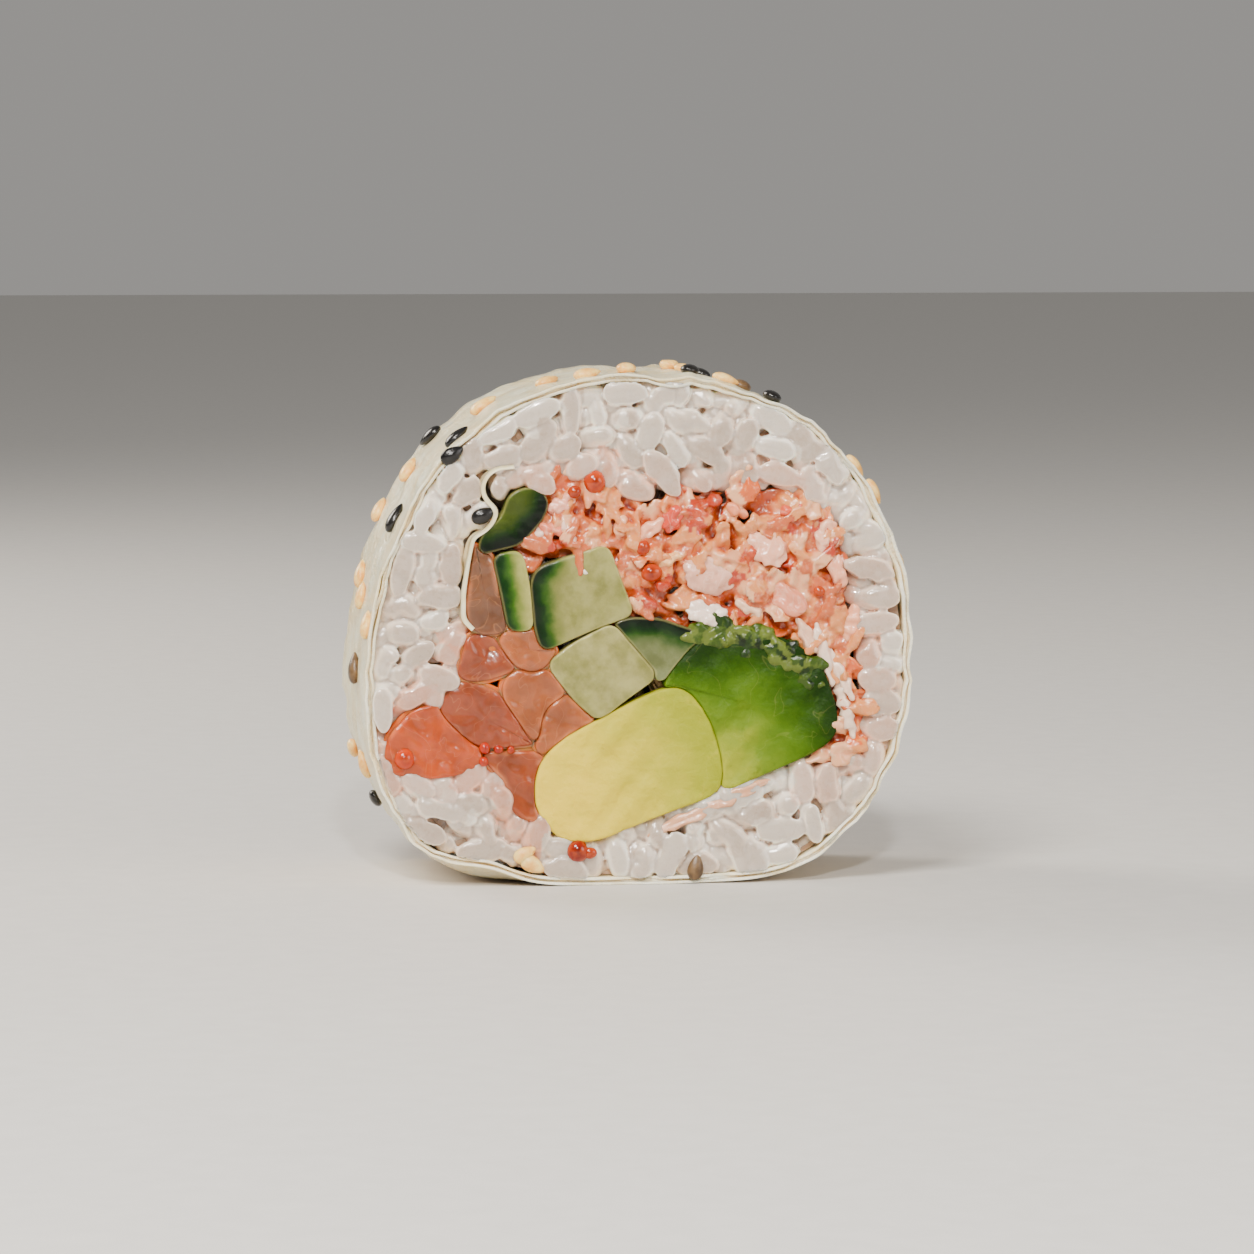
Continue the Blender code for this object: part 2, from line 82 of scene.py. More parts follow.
def make_camera():
    azimuth = math.radians(CAMERA_AZIMUTH)
    elevation = math.radians(CAMERA_ELEVATION)
    away = Vector((
        math.sin(azimuth) * math.cos(elevation),
        -math.cos(azimuth) * math.cos(elevation),
        math.sin(elevation),
    ))
    camera = bpy.data.objects.new("camera", bpy.data.cameras.new("camera"))
    bpy.context.scene.collection.objects.link(camera)
    camera.data.lens = CAMERA_LENS
    camera.data.clip_start = 0.01
    camera.location = Vector(CAMERA_TARGET) + away * CAMERA_DISTANCE
    aim(camera, CAMERA_TARGET)
    bpy.context.scene.camera = camera


def make_light(name, place, width, power, shade):
    light = bpy.data.lights.new(name, "AREA")
    light.shape = "DISK"
    light.size = width
    light.energy = power
    light.color = shade
    obj = bpy.data.objects.new(name, light)
    bpy.context.scene.collection.objects.link(obj)
    obj.location = place
    aim(obj, (0, 0, 0.027))


def make_studio():
    make_light("key", (-0.24, -0.38, 0.50), 0.24, 5.5, (1.0, 0.95, 0.88))
    make_light("fill", (0.50, -0.45, 0.22), 0.40, 1.6, (1.0, 0.98, 0.96))
    make_light("rim", (-0.38, 0.35, 0.30), 0.30, 3.4, (1.0, 0.91, 0.80))
    make_light("glint", (-0.06, -0.60, 0.34), 0.035, 3.2, (1.0, 0.97, 0.93))
    world = bpy.data.worlds.new("studio")
    bpy.context.scene.world = world
    world.use_nodes = True
    world.node_tree.nodes["Background"].inputs["Color"].default_value = (0.90, 0.87, 0.83, 1)
    world.node_tree.nodes["Background"].inputs["Strength"].default_value = 0.36
    bpy.ops.mesh.primitive_plane_add(size=6.0, location=(0, 0, 0))
    floor = bpy.context.object
    floor.name = "floor"
    look = Look("floor_pale", 0.6)
    speckle = look.noise(3.0, 3, 0.5)
    look.colour(look.ramp(speckle, [(0.3, (206, 204, 200)), (0.7, (211, 209, 205))]))
    floor.data.materials.append(look.material)


# Materials


def linear(shade):
    """A colour as seen, 0 to 255 a channel, as the linear value that a shader takes."""
    channels = [channel / 255 for channel in shade]
    return tuple(c / 12.92 if c <= 0.04045 else ((c + 0.055) / 1.055) ** 2.4 for c in channels)


class Look:
    """A Principled material and the few kinds of node that its pattern is made from."""

    def __init__(self, name, roughness, **sockets):
        self.material = bpy.data.materials.new(name)
        self.material.use_nodes = True
        self.tree = self.material.node_tree
        self.shader = self.tree.nodes["Principled BSDF"]
        self.place = self.node("ShaderNodeTexCoord").outputs["Object"]
        self.set("Roughness", roughness)
        for socket, value in sockets.items():
            self.set(socket.replace("_", " ").title().replace("Ior", "IOR"), value)

    def node(self, kind):
        return self.tree.nodes.new(kind)

    def set(self, socket, value):
        self.shader.inputs[socket].default_value = value

    def link(self, source, target):
        self.tree.links.new(source, target)

    def subsurface(self, weight, radius, scale):
        """Light spreads under the surface by `scale` millimetres times the radius of a channel."""
        self.set("Subsurface Weight", weight)
        self.set("Subsurface Radius", radius)
        self.set("Subsurface Scale", scale * MM)

    def noise(self, size, detail=2, roughness=0.5, stretch=(1, 1, 1), distortion=0.0):
        """Noise with features about `size` millimetres across, longer along a stretched axis."""
        mapping = self.node("ShaderNodeMapping")
        mapping.inputs["Scale"].default_value = [1 / (size * MM * axis) for axis in stretch]
        self.link(self.place, mapping.inputs["Vector"])
        noise = self.node("ShaderNodeTexNoise")
        noise.inputs["Scale"].default_value = 1.0
        noise.inputs["Detail"].default_value = detail
        noise.inputs["Roughness"].default_value = roughness
        noise.inputs["Distortion"].default_value = distortion
        self.link(mapping.outputs["Vector"], noise.inputs["Vector"])
        return noise.outputs["Fac"]

    def value(self, name):
        """A number that the mesh holds at each of its points."""
        attribute = self.node("ShaderNodeAttribute")
        attribute.attribute_name = name
        return attribute.outputs["Fac"]

    def paint(self, name="paint"):
        """A colour that the mesh holds at each of its points."""
        attribute = self.node("ShaderNodeAttribute")
        attribute.attribute_name = name
        return attribute.outputs["Color"]

    def facing(self):
        """0 where the surface faces the viewer and 1 at its rims."""
        return self.node("ShaderNodeLayerWeight").outputs["Facing"]

    def fit(self, source, low, high, to_low=0.0, to_high=1.0):
        fit = self.node("ShaderNodeMapRange")
        fit.interpolation_type = "SMOOTHSTEP"
        fit.inputs["From Min"].default_value = low
        fit.inputs["From Max"].default_value = high
        fit.inputs["To Min"].default_value = to_low
        fit.inputs["To Max"].default_value = to_high
        self.link(source, fit.inputs["Value"])
        return fit.outputs["Result"]

    def sum(self, first, second, operation="ADD"):
        both = self.node("ShaderNodeMath")
        both.operation = operation
        for socket, source in zip(both.inputs, (first, second)):
            if isinstance(source, (int, float)):
                socket.default_value = source
            else:
                self.link(source, socket)
        return both.outputs["Value"]

    def ramp(self, source, stops):
        """Colours at places along a value, each (place, colour as seen)."""
        ramp = self.node("ShaderNodeValToRGB")
        elements = ramp.color_ramp.elements
        while len(elements) < len(stops):
            elements.new(0.5)
        for element, (place, shade) in zip(elements, stops):
            element.position = place
            element.color = (*linear(shade), 1)
        self.link(source, ramp.inputs["Fac"])
        return ramp.outputs["Color"]

    def mix(self, factor, first, second, kind="MIX"):
        mix = self.node("ShaderNodeMix")
        mix.data_type = "RGBA"
        mix.blend_type = kind
        if isinstance(factor, (int, float)):
            mix.inputs["Factor"].default_value = factor
        else:
            self.link(factor, mix.inputs["Factor"])
        for socket, source in ((mix.inputs["A"], first), (mix.inputs["B"], second)):
            socket = next(s for s in mix.inputs if s.type == "RGBA" and s.name == socket.name)
            if isinstance(source, tuple):
                socket.default_value = (*linear(source), 1)
            else:
                self.link(source, socket)
        return next(s for s in mix.outputs if s.type == "RGBA")

    def colour(self, source):
        self.link(source, self.shader.inputs["Base Color"])

    def roughness(self, source):
        self.link(source, self.shader.inputs["Roughness"])

    def bump(self, height, depth, strength=1.0):
        """Relief of `depth` millimetres for a height from 0 to 1."""
        bump = self.node("ShaderNodeBump")
        bump.inputs["Distance"].default_value = depth * MM
        bump.inputs["Strength"].default_value = strength
        self.link(height, bump.inputs["Height"])
        self.link(bump.outputs["Normal"], self.shader.inputs["Normal"])


# Outlines on the cut face


def section(node):
    """The closed outlines, longest first, in which the middle of the slice cuts a solid."""
    bm = bmesh.new()
    bm.from_mesh(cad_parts[node].data)
    bmesh.ops.remove_doubles(bm, verts=bm.verts[:], dist=1e-7)
    cut = bmesh.ops.bisect_plane(
        bm, geom=bm.verts[:] + bm.edges[:] + bm.faces[:], dist=1e-7,
        plane_co=(0, 0, 0), plane_no=(0, 1, 0),
    )
    edges = {piece for piece in cut["geom_cut"] if isinstance(piece, bmesh.types.BMEdge)}
    loops = []
    while edges:
        edge = edges.pop()
        first, point = edge.verts
        loop = [first.co.copy()]
        while point is not first:
            loop.append(point.co.copy())
            edge = next((e for e in point.link_edges if e in edges), None)
            if edge is None:
                break
            edges.remove(edge)
            point = edge.other_vert(point)
        loops.append(np.array([(co.x, co.z) for co in loop]) / MM)
    bm.free()
    return sorted((counterclockwise(loop) for loop in loops), key=length_of, reverse=True)


def counterclockwise(outline):
    x, z = outline.T
    area = (x * np.roll(z, -1) - np.roll(x, -1) * z).sum()
    return outline if area > 0 else outline[::-1]


def length_of(outline):
    return np.linalg.norm(outline - np.roll(outline, 1, axis=0), axis=1).sum()


def evenly(outline, count):
    """The same closed outline through `count` points at equal steps along it."""
    closed = np.vstack([outline, outline[:1]])
    along = np.concatenate([[0.0], np.cumsum(np.linalg.norm(np.diff(closed, axis=0), axis=1))])
    wanted = np.linspace(0.0, along[-1], count, endpoint=False)
    return np.column_stack([np.interp(wanted, along, closed[:, axis]) for axis in (0, 1)])


def softened(outline, rounds):
    """The outline with its corners eased by averaging each point with its neighbours."""
    for _ in range(rounds):
        outline = 0.5 * outline + 0.25 * (np.roll(outline, 1, axis=0) + np.roll(outline, -1, axis=0))
    return outline


def outward(outline):
    """The unit normal at each point of a counterclockwise outline."""
    along = np.roll(outline, -1, axis=0) - np.roll(outline, 1, axis=0)
    normal = np.column_stack([along[:, 1], -along[:, 0]])
    return normal / np.maximum(np.linalg.norm(normal, axis=1), 1e-9)[:, None]


def distance_to(points, line, closed=True):
    """Each point's distance to the nearest stretch of an outline or open line."""
    points = np.asarray(points, float)
    start = line if closed else line[:-1]
    end = np.roll(line, -1, axis=0) if closed else line[1:]
    nearest = np.full(len(points), np.inf)
    for a, b in zip(start, end):
        along = b - a
        share = ((points - a) @ along) / max(along @ along, 1e-12)
        foot = a + np.clip(share, 0, 1)[:, None] * along
        nearest = np.minimum(nearest, np.linalg.norm(points - foot, axis=1))
    return nearest


def inside(points, outline):
    """Which of the points lie inside the closed outline."""
    x, z = np.asarray(points, float).T
    found = np.zeros(len(x), bool)
    for (ax, az), (bx, bz) in zip(outline, np.roll(outline, -1, axis=0)):
        if az != bz:
            found ^= ((az > z) != (bz > z)) & (x < (bx - ax) * (z - az) / (bz - az) + ax)
    return found


class Ground:
    """How deep each point of the cut face lies inside one outline and outside others."""

    STEP = 0.3

    def __init__(self, outline, others=()):
        self.low = outline.min(axis=0) - 1
        self.size = np.ceil((outline.max(axis=0) + 1 - self.low) / self.STEP).astype(int)
        grid = np.stack(np.meshgrid(*[np.arange(n) for n in self.size], indexing="ij"), axis=-1)
        points = grid.reshape(-1, 2) * self.STEP + self.low
        depth = distance_to(points, outline) * np.where(inside(points, outline), 1, -1)
        for other in others:
            away = distance_to(points, other) * np.where(inside(points, other), -1, 1)
            depth = np.minimum(depth, away)
        self.depths = depth.reshape(self.size)
        self.slopes = np.stack(np.gradient(self.depths, self.STEP), axis=-1)
        self.area = (depth > 0).sum() * self.STEP**2

    def cell(self, points):
        index = np.rint((points - self.low) / self.STEP).astype(int)
        return tuple(np.clip(index, 0, self.size - 1).T)

    def depth(self, points):
        return self.depths[self.cell(points)]

    def slope(self, points):
        """The direction that leads deeper inside."""
        return self.slopes[self.cell(points)]

    def held(self, points, margin):
        """3-D points with those more than `margin` outside the outline pulled back to that line."""
        flat = points[:, [0, 2]]
        over = np.maximum(-margin - self.depth(flat), 0)[:, None]
        points[:, [0, 2]] += self.slope(flat) * over
        return points

    def scatter(self, count, margin, rng):
        found = np.empty((0, 2))
        span = self.size * self.STEP
        while len(found) < count:
            points = rng.random((count * 4, 2)) * span + self.low
            found = np.vstack([found, points[self.depth(points) > margin]])
        return found[:count]


def packed(ground, lengths, radius, rng, rounds=140, give=0.9):
    """Places and angles for long grains that push each other apart until they fill the ground."""
    count = len(lengths)
    place = ground.scatter(count, radius * 0.5, rng)
    angle = rng.random(count) * math.pi
    reach = np.maximum(lengths / 2 - radius, 0.0)
    share = np.array([-1.0, 0.0, 1.0])
    for _ in range(rounds):
        along = np.column_stack([np.cos(angle), np.sin(angle)])
        offset = share[None, :, None] * reach[:, None, None] * along[:, None, :]
        discs = (place[:, None, :] + offset).reshape(-1, 2)
        owner = np.repeat(np.arange(count), 3)
        apart = discs[:, None, :] - discs[None, :, :]
        distance = np.linalg.norm(apart, axis=2) + 1e-6
        overlap = np.maximum(2 * radius * give - distance, 0.0)
        overlap[owner[:, None] == owner[None, :]] = 0.0
        push = (apart / distance[..., None] * overlap[..., None]).sum(axis=1) * 0.3
        depth = ground.depth(discs)
        push += ground.slope(discs) * np.maximum(radius * give - depth, 0.0)[:, None] * 0.5
        push = push.reshape(count, 3, 2)
        place += push.mean(axis=1)
        twist = (offset[..., 0] * push[..., 1] - offset[..., 1] * push[..., 0]).sum(axis=1)
        angle += np.clip(twist / (2 * reach**2 + 1.0), -0.2, 0.2)
    return place, angle


# Meshes


def boxed(points):
    """The points, in millimetres, with what stands out of the solids' box laid against it."""
    low, high = np.array(cad_box) / MM
    return np.clip(points, low + 0.005, high - 0.005)


def new_object(name, points, faces, material):
    """A smooth-shaded piece of the roll from points in millimetres."""
    points = boxed(np.asarray(points))
    mesh = bpy.data.meshes.new(name)
    mesh.from_pydata(points * MM, [], [tuple(map(int, face)) for face in faces])
    mesh.update()
    mesh.shade_smooth()
    mesh.materials.append(material)
    obj = bpy.data.objects.new(name, mesh)
    bpy.context.scene.collection.objects.link(obj)
    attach(obj, "root")
    return obj


def hold(obj, name, values):
    """Stores a number at each point of the mesh for its material."""
    attribute = obj.data.attributes.new(name, "FLOAT", "POINT")
    attribute.data.foreach_set("value", np.asarray(values, np.float32))


def hold_colour(obj, colours, name="paint"):
    """Stores a linear colour at each point of the mesh for its material."""
    attribute = obj.data.attributes.new(name, "FLOAT_COLOR", "POINT")
    rgba = np.ones((len(colours), 4), np.float32)
    rgba[:, :3] = colours
    attribute.data.foreach_set("color", rgba.ravel())


def points_of(obj):
    points = np.empty(len(obj.data.vertices) * 3, np.float32)
    obj.data.vertices.foreach_get("co", points)
    return points.reshape(-1, 3).astype(float) / MM


def waves(points, size, seed, count=10):
    """Smooth uneven heights from -1 to 1 or so, with features about `size` millimetres across."""
    rng = np.random.default_rng(seed)
    direction = rng.normal(size=(count, points.shape[1]))
    direction /= np.linalg.norm(direction, axis=1)[:, None]
    direction *= (2 * math.pi / size) * rng.uniform(0.6, 1.5, count)[:, None]
    phase = rng.uniform(0, 2 * math.pi, count)
    return np.sin(points @ direction.T + phase).sum(axis=1) / math.sqrt(count)


def blend_shades(factor, first, second):
    return first + (second - first) * np.clip(factor, 0, 1)[:, None]


def smoothstep(low, high, values):
    share = np.clip((values - low) / (high - low), 0, 1)
    return share * share * (3 - 2 * share)


def grid_faces(rows, columns, start=0, wrap=True):
    """Quads between `rows` rings of `columns` points each."""
    faces = []
    for row in range(rows - 1):
        for column in range(columns if wrap else columns - 1):
            after = (column + 1) % columns
            a = start + row * columns
            faces.append((a + column, a + after, a + columns + after, a + columns + column))
    return faces


def slab_mesh(outline, rim, near, far, relief, seed):
    """A section drawn out along the roll, with eased rims and uneven cut faces."""
    count = max(48, int(length_of(outline) / 0.35))
    outline = softened(evenly(outline, count), 2)
    normal = outward(outline)
    middle = outline.mean(axis=0)
    radius = np.linalg.norm(outline - middle, axis=1).mean()
    rings = max(8, int(radius / 0.4))
    half = []
    for ring in range(1, rings + 1):
        share = 1 - (1 - ring / rings) ** 1.15
        inset = outline - normal * rim
        half.append((middle + (inset - middle) * share, 0.0))
    for step in range(1, 4):
        angle = step / 3 * math.pi / 2
        half.append((outline - normal * rim * (1 - math.sin(angle)), rim * (1 - math.cos(angle))))
    rows = [(flat, near + depth) for flat, depth in half]
    for step in range(1, 8):
        share = step / 8
        rows.append((outline, (near + rim) * (1 - share) + (far - rim) * share))
    rows += [(flat, far - depth) for flat, depth in reversed(half)]
    points = []
    for flat, y in rows:
        dip = relief * waves(flat, 4.0, seed) + 0.35 * relief * waves(flat, 1.4, seed + 1)
        heights = y + np.where(y < 0, 1, -1) * (dip + relief)
        points.append(np.column_stack([flat[:, 0], heights, flat[:, 1]]))
    faces = [face[::-1] for face in grid_faces(len(rows), count)]
    for side, y in ((0, near), (len(rows) - 1, far)):
        hub = len(rows) * count + (side > 0)
        sunk = y + np.sign(-y) * relief
        points.append(np.array([[middle[0], sunk, middle[1]]]))
        for column in range(count):
            corners = (hub, side * count + column, side * count + (column + 1) % count)
            faces.append(corners if y < 0 else corners[::-1])
    return np.vstack(points), faces


def slab(name, outline, material, rim=0.2, sunk=0.0, relief=0.06, seed=0, grow=0.15):
    """A filling that runs through the slice, grown a little to close the gap to its neighbours.

    The mesh holds how far each point of a cut face lies from the rim, as the value `edge`.
    """
    grown = outline + outward(outline) * grow
    points, faces = slab_mesh(grown, rim, -FACE + sunk, FACE - sunk, relief, seed)
    obj = new_object(name, points, faces, material)
    hold(obj, "edge", distance_to(points[:, [0, 2]], grown))
    return obj


class Heap:
    """Many small shapes gathered into one mesh, each with its own colour."""

    def __init__(self):
        self.points = []
        self.faces = []
        self.colours = []
        self.count = 0

    def add(self, points, faces, colours):
        self.points.append(points)
        self.faces.extend([tuple(corner + self.count for corner in face) for face in faces])
        self.colours.append(np.broadcast_to(colours, (len(points), 3)))
        self.count += len(points)

    def make(self, name, material, slot):
        obj = new_object(name, np.vstack(self.points), self.faces, material)
        hold_colour(obj, np.vstack(self.colours))
        return obj


def ellipsoid(segments, rings):
    """Points on a unit ball with its poles on the X axis, and its faces."""
    points = [(-1.0, 0.0, 0.0)]
    for ring in range(1, rings):
        polar = math.pi * ring / rings
        for segment in range(segments):
            turn = 2 * math.pi * segment / segments
            radius = math.sin(polar)
            points.append((-math.cos(polar), radius * math.cos(turn), radius * math.sin(turn)))
    points.append((1.0, 0.0, 0.0))
    faces = grid_faces(rings - 1, segments, 1)
    last = len(points) - 1
    for segment in range(segments):
        after = (segment + 1) % segments
        faces.append((0, 1 + after, 1 + segment))
        faces.append((last, last - segments + segment, last - segments + after))
    return np.array(points), faces


BALL_FINE = ellipsoid(16, 10)
BALL_DENSE = ellipsoid(30, 20)
BALL_SMALL = ellipsoid(10, 7)


def turned(points, angle, tilt, roll):
    """Points rolled about X, tilted towards the cut face and turned in its plane."""
    turn = (
        Matrix.Rotation(-angle, 3, "Y") @ Matrix.Rotation(tilt, 3, "Z") @ Matrix.Rotation(roll, 3, "X")
    )
    return points @ np.array(turn).T


def sides():
    """The two cut faces: their sign along Y."""
    return (-1, 1)


# Rice


def grain_shape(length, width, thick, lumps, rng):
    """A cooked grain: blunt, a little bent, thicker at one end, with a few lumps."""
    ball, faces = BALL_FINE
    x = ball[:, 0]
    blunt = np.sign(x) * np.abs(x) ** 0.9
    girth = (1 - np.abs(x) ** 2.3) ** 0.48 * (1 + rng.uniform(-0.18, 0.18) * x)
    around = ball[:, 1:] / np.maximum(np.linalg.norm(ball[:, 1:], axis=1), 1e-6)[:, None]
    bend = rng.uniform(-0.3, 0.3) * (1 - x**2)
    points = np.column_stack([
        blunt * length / 2,
        around[:, 0] * girth * width / 2 + bend,
        around[:, 1] * girth * thick / 2,
    ])
    points += lumps * waves(points, 1.9, int(rng.integers(1e6)), 5)[:, None] * ball
    return points, faces


# Layers of grains behind each cut face: how deep their middles lie, and grains a square millimetre
RICE_LAYERS = ((0.95, 0.100), (2.1, 0.115))
# How deep the solid rice behind the grains begins
CORE_DEEP = 1.9
# Grains tucked into the curl of the film: place, length, turn in degrees
TUCKED_GRAINS = [(-14.3, 41.7, 3.2, 65), (-12.3, 42.5, 3.8, 20), (-10.6, 41.8, 3.4, -35)]
# Where the crab salad ends at the cut: the rice over it is stained but is still rice
CRAB_SEEN = [
    (-16.6, 34.2), (-12.2, 39.9), (-10.1, 41.4), (-7.0, 42.0), (-4.4, 41.6), (-0.2, 39.9), (4.9, 40.5),
    (9.1, 41.0), (13.8, 41.1), (17.0, 39.9), (19.4, 37.6), (21.4, 33.4), (22.0, 29.3), (22.6, 24.1),
    (22.9, 18.9), (23.6, 14.0), (18.0, 12.0), (12.0, 20.0), (0.0, 24.0), (-8.0, 30.0),
]


def make_rice(outlines, room, look):
    """Sticky rice: grains at each cut face that melt into each other where they touch."""
    seen = counterclockwise(np.array(CRAB_SEEN))
    fillings = [outlines[name] for name in outlines if name not in ("rice", "crab")] + [seen]
    ground = Ground(room + outward(room) * 0.2, fillings)
    paper = Ground(room)
    pale = np.array(linear((255, 248, 234)))
    grey = np.array(linear((220, 202, 184)))
    peach = np.array(linear((248, 192, 160)))
    salmon = np.array(linear((250, 158, 108)))
    # Painted shade: the tan that the crevices and the deeper grains are tinted with
    painted_gap_shade = np.array(linear((190, 134, 82)))
    pieces = [outlines[name] for name in outlines if name.startswith("salmon")]
    for side in sides():
        heap = Heap()
        centres = []
        shades = []
        for layer, (sunk, density) in enumerate(RICE_LAYERS):
            rng = np.random.default_rng(40 + layer + (side > 0) * 10)
            count = int(ground.area * density)
            size = rng.choice((0.6, 0.82, 1.0, 1.18), count, p=(0.10, 0.26, 0.44, 0.20))
            length = size * 4.4 * rng.uniform(0.92, 1.08, count)
            place, angle = packed(ground, length, 1.5, rng)
            if layer == 0:
                tucked = np.array(TUCKED_GRAINS)
                place = np.vstack([place, tucked[:, :2]])
                length = np.append(length, tucked[:, 2])
                angle = np.append(angle, np.radians(tucked[:, 3]))
                size = np.append(size, [0.72] * len(tucked))
                count += len(tucked)
            to_crab = distance_to(place, seen) + waves(place, 5.0, 9) * 0.9
            to_salmon = np.min([distance_to(place, piece) for piece in pieces], axis=0)
            for number in range(count):
                width = rng.uniform(2.55, 3.25) * min(1.0, size[number] + 0.12)
                full = max(length[number], rng.uniform(3.9, 4.9))
                tilt = math.acos(min(1.0, length[number] / full)) * rng.choice((-1, 1))
                lumps = 0.04 if rng.random() < 0.6 else 0.2
                points, faces = grain_shape(full, width, rng.uniform(2.1, 2.8), lumps, rng)
                points = turned(points, angle[number], tilt, rng.uniform(-0.6, 0.6))
                depth = FACE - sunk - abs(math.sin(tilt)) * (full - width) / 2 + rng.normal(0, 0.38)
                centre = np.array([place[number, 0], side * depth, place[number, 1]])
                points += centre
                # The knife flattens what stands out of the cut
                level = FACE - 0.05 + rng.uniform(-0.35, 0.15)
                proud = np.maximum(side * points[:, 1] - level, 0)
                points[:, 1] -= side * proud * 0.8
                shade = grey + (pale - grey) * rng.uniform(0, 1)
                stain = 0.9 * smoothstep(4.2, 0.6, to_crab[number]) * rng.uniform(0.35, 1.0)
                shade = shade + (peach - shade) * stain
                stain = 0.8 * smoothstep(2.6, 0.8, to_salmon[number]) * rng.uniform(0.3, 1.0)
                heap.add(points, faces, (1, 1, 1))
                for end in (-0.3, 0.3):
                    reach = np.array([math.cos(angle[number]), 0.0, math.sin(angle[number])])
                    centres.append(centre + reach * end * length[number])
                    shades.append(shade + (salmon - shade) * stain)
        grains = heap.make(f"rice_grains_{'front' if side < 0 else 'back'}", look.material, "rice")
        fuse(grains, 0.205, look)
        cut_behind(grains, side, 2.8)
        points = paper.held(points_of(grains), 0.1)
        put_points(grains, points)
        hollow = hollows(grains, points, 6)
        colours = nearest_shades(points, centres, shades)
        # Painted shade: grains deeper behind the cut and the crevices between grains are tinted tan
        behind = smoothstep(1.3, 2.6, FACE - side * points[:, 1])
        crevice_shade = smoothstep(0.02, 0.2, hollow)
        colours = blend_shades(behind * 0.45 + crevice_shade * 0.6, colours, painted_gap_shade)
        hold_colour(grains, colours)
        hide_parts("rice")


def nearest_shades(points, centres, shades):
    """The shade of the nearest centre, for each point."""
    tree = KDTree(len(centres))
    for number, centre in enumerate(centres):
        tree.insert(centre, number)
    tree.balance()
    return np.array([shades[tree.find(point)[1]] for point in points])


def cut_behind(obj, side, depth):
    """Leaves out what lies more than `depth` millimetres behind a cut face, where nothing shows."""
    bm = bmesh.new()
    bm.from_mesh(obj.data)
    hidden = [v for v in bm.verts if FACE - side * v.co.y / MM > depth]
    bmesh.ops.delete(bm, geom=hidden, context="VERTS")
    bm.to_mesh(obj.data)
    bm.free()


def make_rice_core(room, hollow, look):
    """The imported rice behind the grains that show."""
    outline = softened(evenly(room, 220), 1)
    hole = softened(evenly(hollow, 220), 1)
    rows = []
    deep = FACE - CORE_DEEP
    for flat, y in ((outline, -deep), (outline, deep), (hole, deep), (hole, -deep)):
        rows.append(np.column_stack([flat[:, 0], np.full(len(flat), y), flat[:, 1]]))
    rows.append(rows[0])
    core = new_object("rice_core", np.vstack(rows), grid_faces(5, 220), look.material)
    # Painted shade: the core is tan, darker than the grains, for the shade deep in the gaps between them
    hold_colour(core, np.broadcast_to(linear((222, 176, 128)), (1100, 3)))
    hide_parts("rice")


def rice_look():
    look = Look("rice_moist", 0.3, specular_ior_level=0.5, coat_weight=1.0, coat_roughness=0.04)
    look.subsurface(1.0, (1.0, 0.84, 0.7), 1.3)
    mottle = look.noise(1.3, 3, 0.6)
    paler = look.mix(0.5, look.paint(), (250, 240, 230))
    base = look.mix(look.fit(mottle, 0.42, 0.7, 0.0, 0.6), look.paint(), paler)
    # Painted shade and highlight: a grain is painted greyer through its middle and whiter round its rim, as
    # light through it shows
    middle = look.fit(look.facing(), 0.02, 0.4, 0.9, 0.0)
    look.colour(look.mix(middle, base, look.mix(1.0, base, (196, 190, 186), "MULTIPLY")))
    look.roughness(look.fit(look.noise(0.7, 2), 0.3, 0.7, 0.2, 0.42))
    look.bump(look.noise(1.1, 2, 0.4), 0.05, 0.7)
    return look


# Crab salad


def lump(length, width, thick, rough, rng, ball=None):
    """An uneven scrap: a flattened ball whose outline and faces are ruffled."""
    ball, faces = ball or BALL_SMALL
    points = ball * (length / 2, thick / 2, width / 2)
    seed = int(rng.integers(1e6))
    points += rough * waves(points, 1.2, seed, 8)[:, None] * ball
    points[:, 1] += 0.5 * rough * waves(points[:, [0, 2]], 1.8, seed + 1, 6)
    return points, faces


# What the salad is made of: share of the scraps, length, width, thickness, ruffle
SCRAPS = (
    (0.26, (1.6, 2.8), (1.2, 2.0), (0.9, 1.4), 0.14),
    (0.34, (2.8, 5.2), (1.0, 1.4), (0.8, 1.1), 0.10),
    (0.40, (3.0, 5.0), (2.0, 3.2), (0.6, 0.9), 0.26),
)
CRAB_TINTS = ((218, 140, 78), (194, 98, 48), (230, 170, 126), (176, 50, 14), (212, 98, 30))
CRAB_SHARES = (0.40, 0.26, 0.13, 0.11, 0.10)
# Where orange sauce shows at the cut: place, reach
SAUCE = [
    (-1.3, 38.6, 1.6), (0.8, 33.2, 1.5), (2.6, 39.6, 1.4), (8.8, 35.1, 1.3), (10.8, 34.0, 1.4),
    (18.3, 30.4, 1.2), (-5.4, 40.2, 1.6), (6.0, 38.2, 1.0), (14.0, 37.5, 0.9), (-9.5, 37.0, 1.0),
]
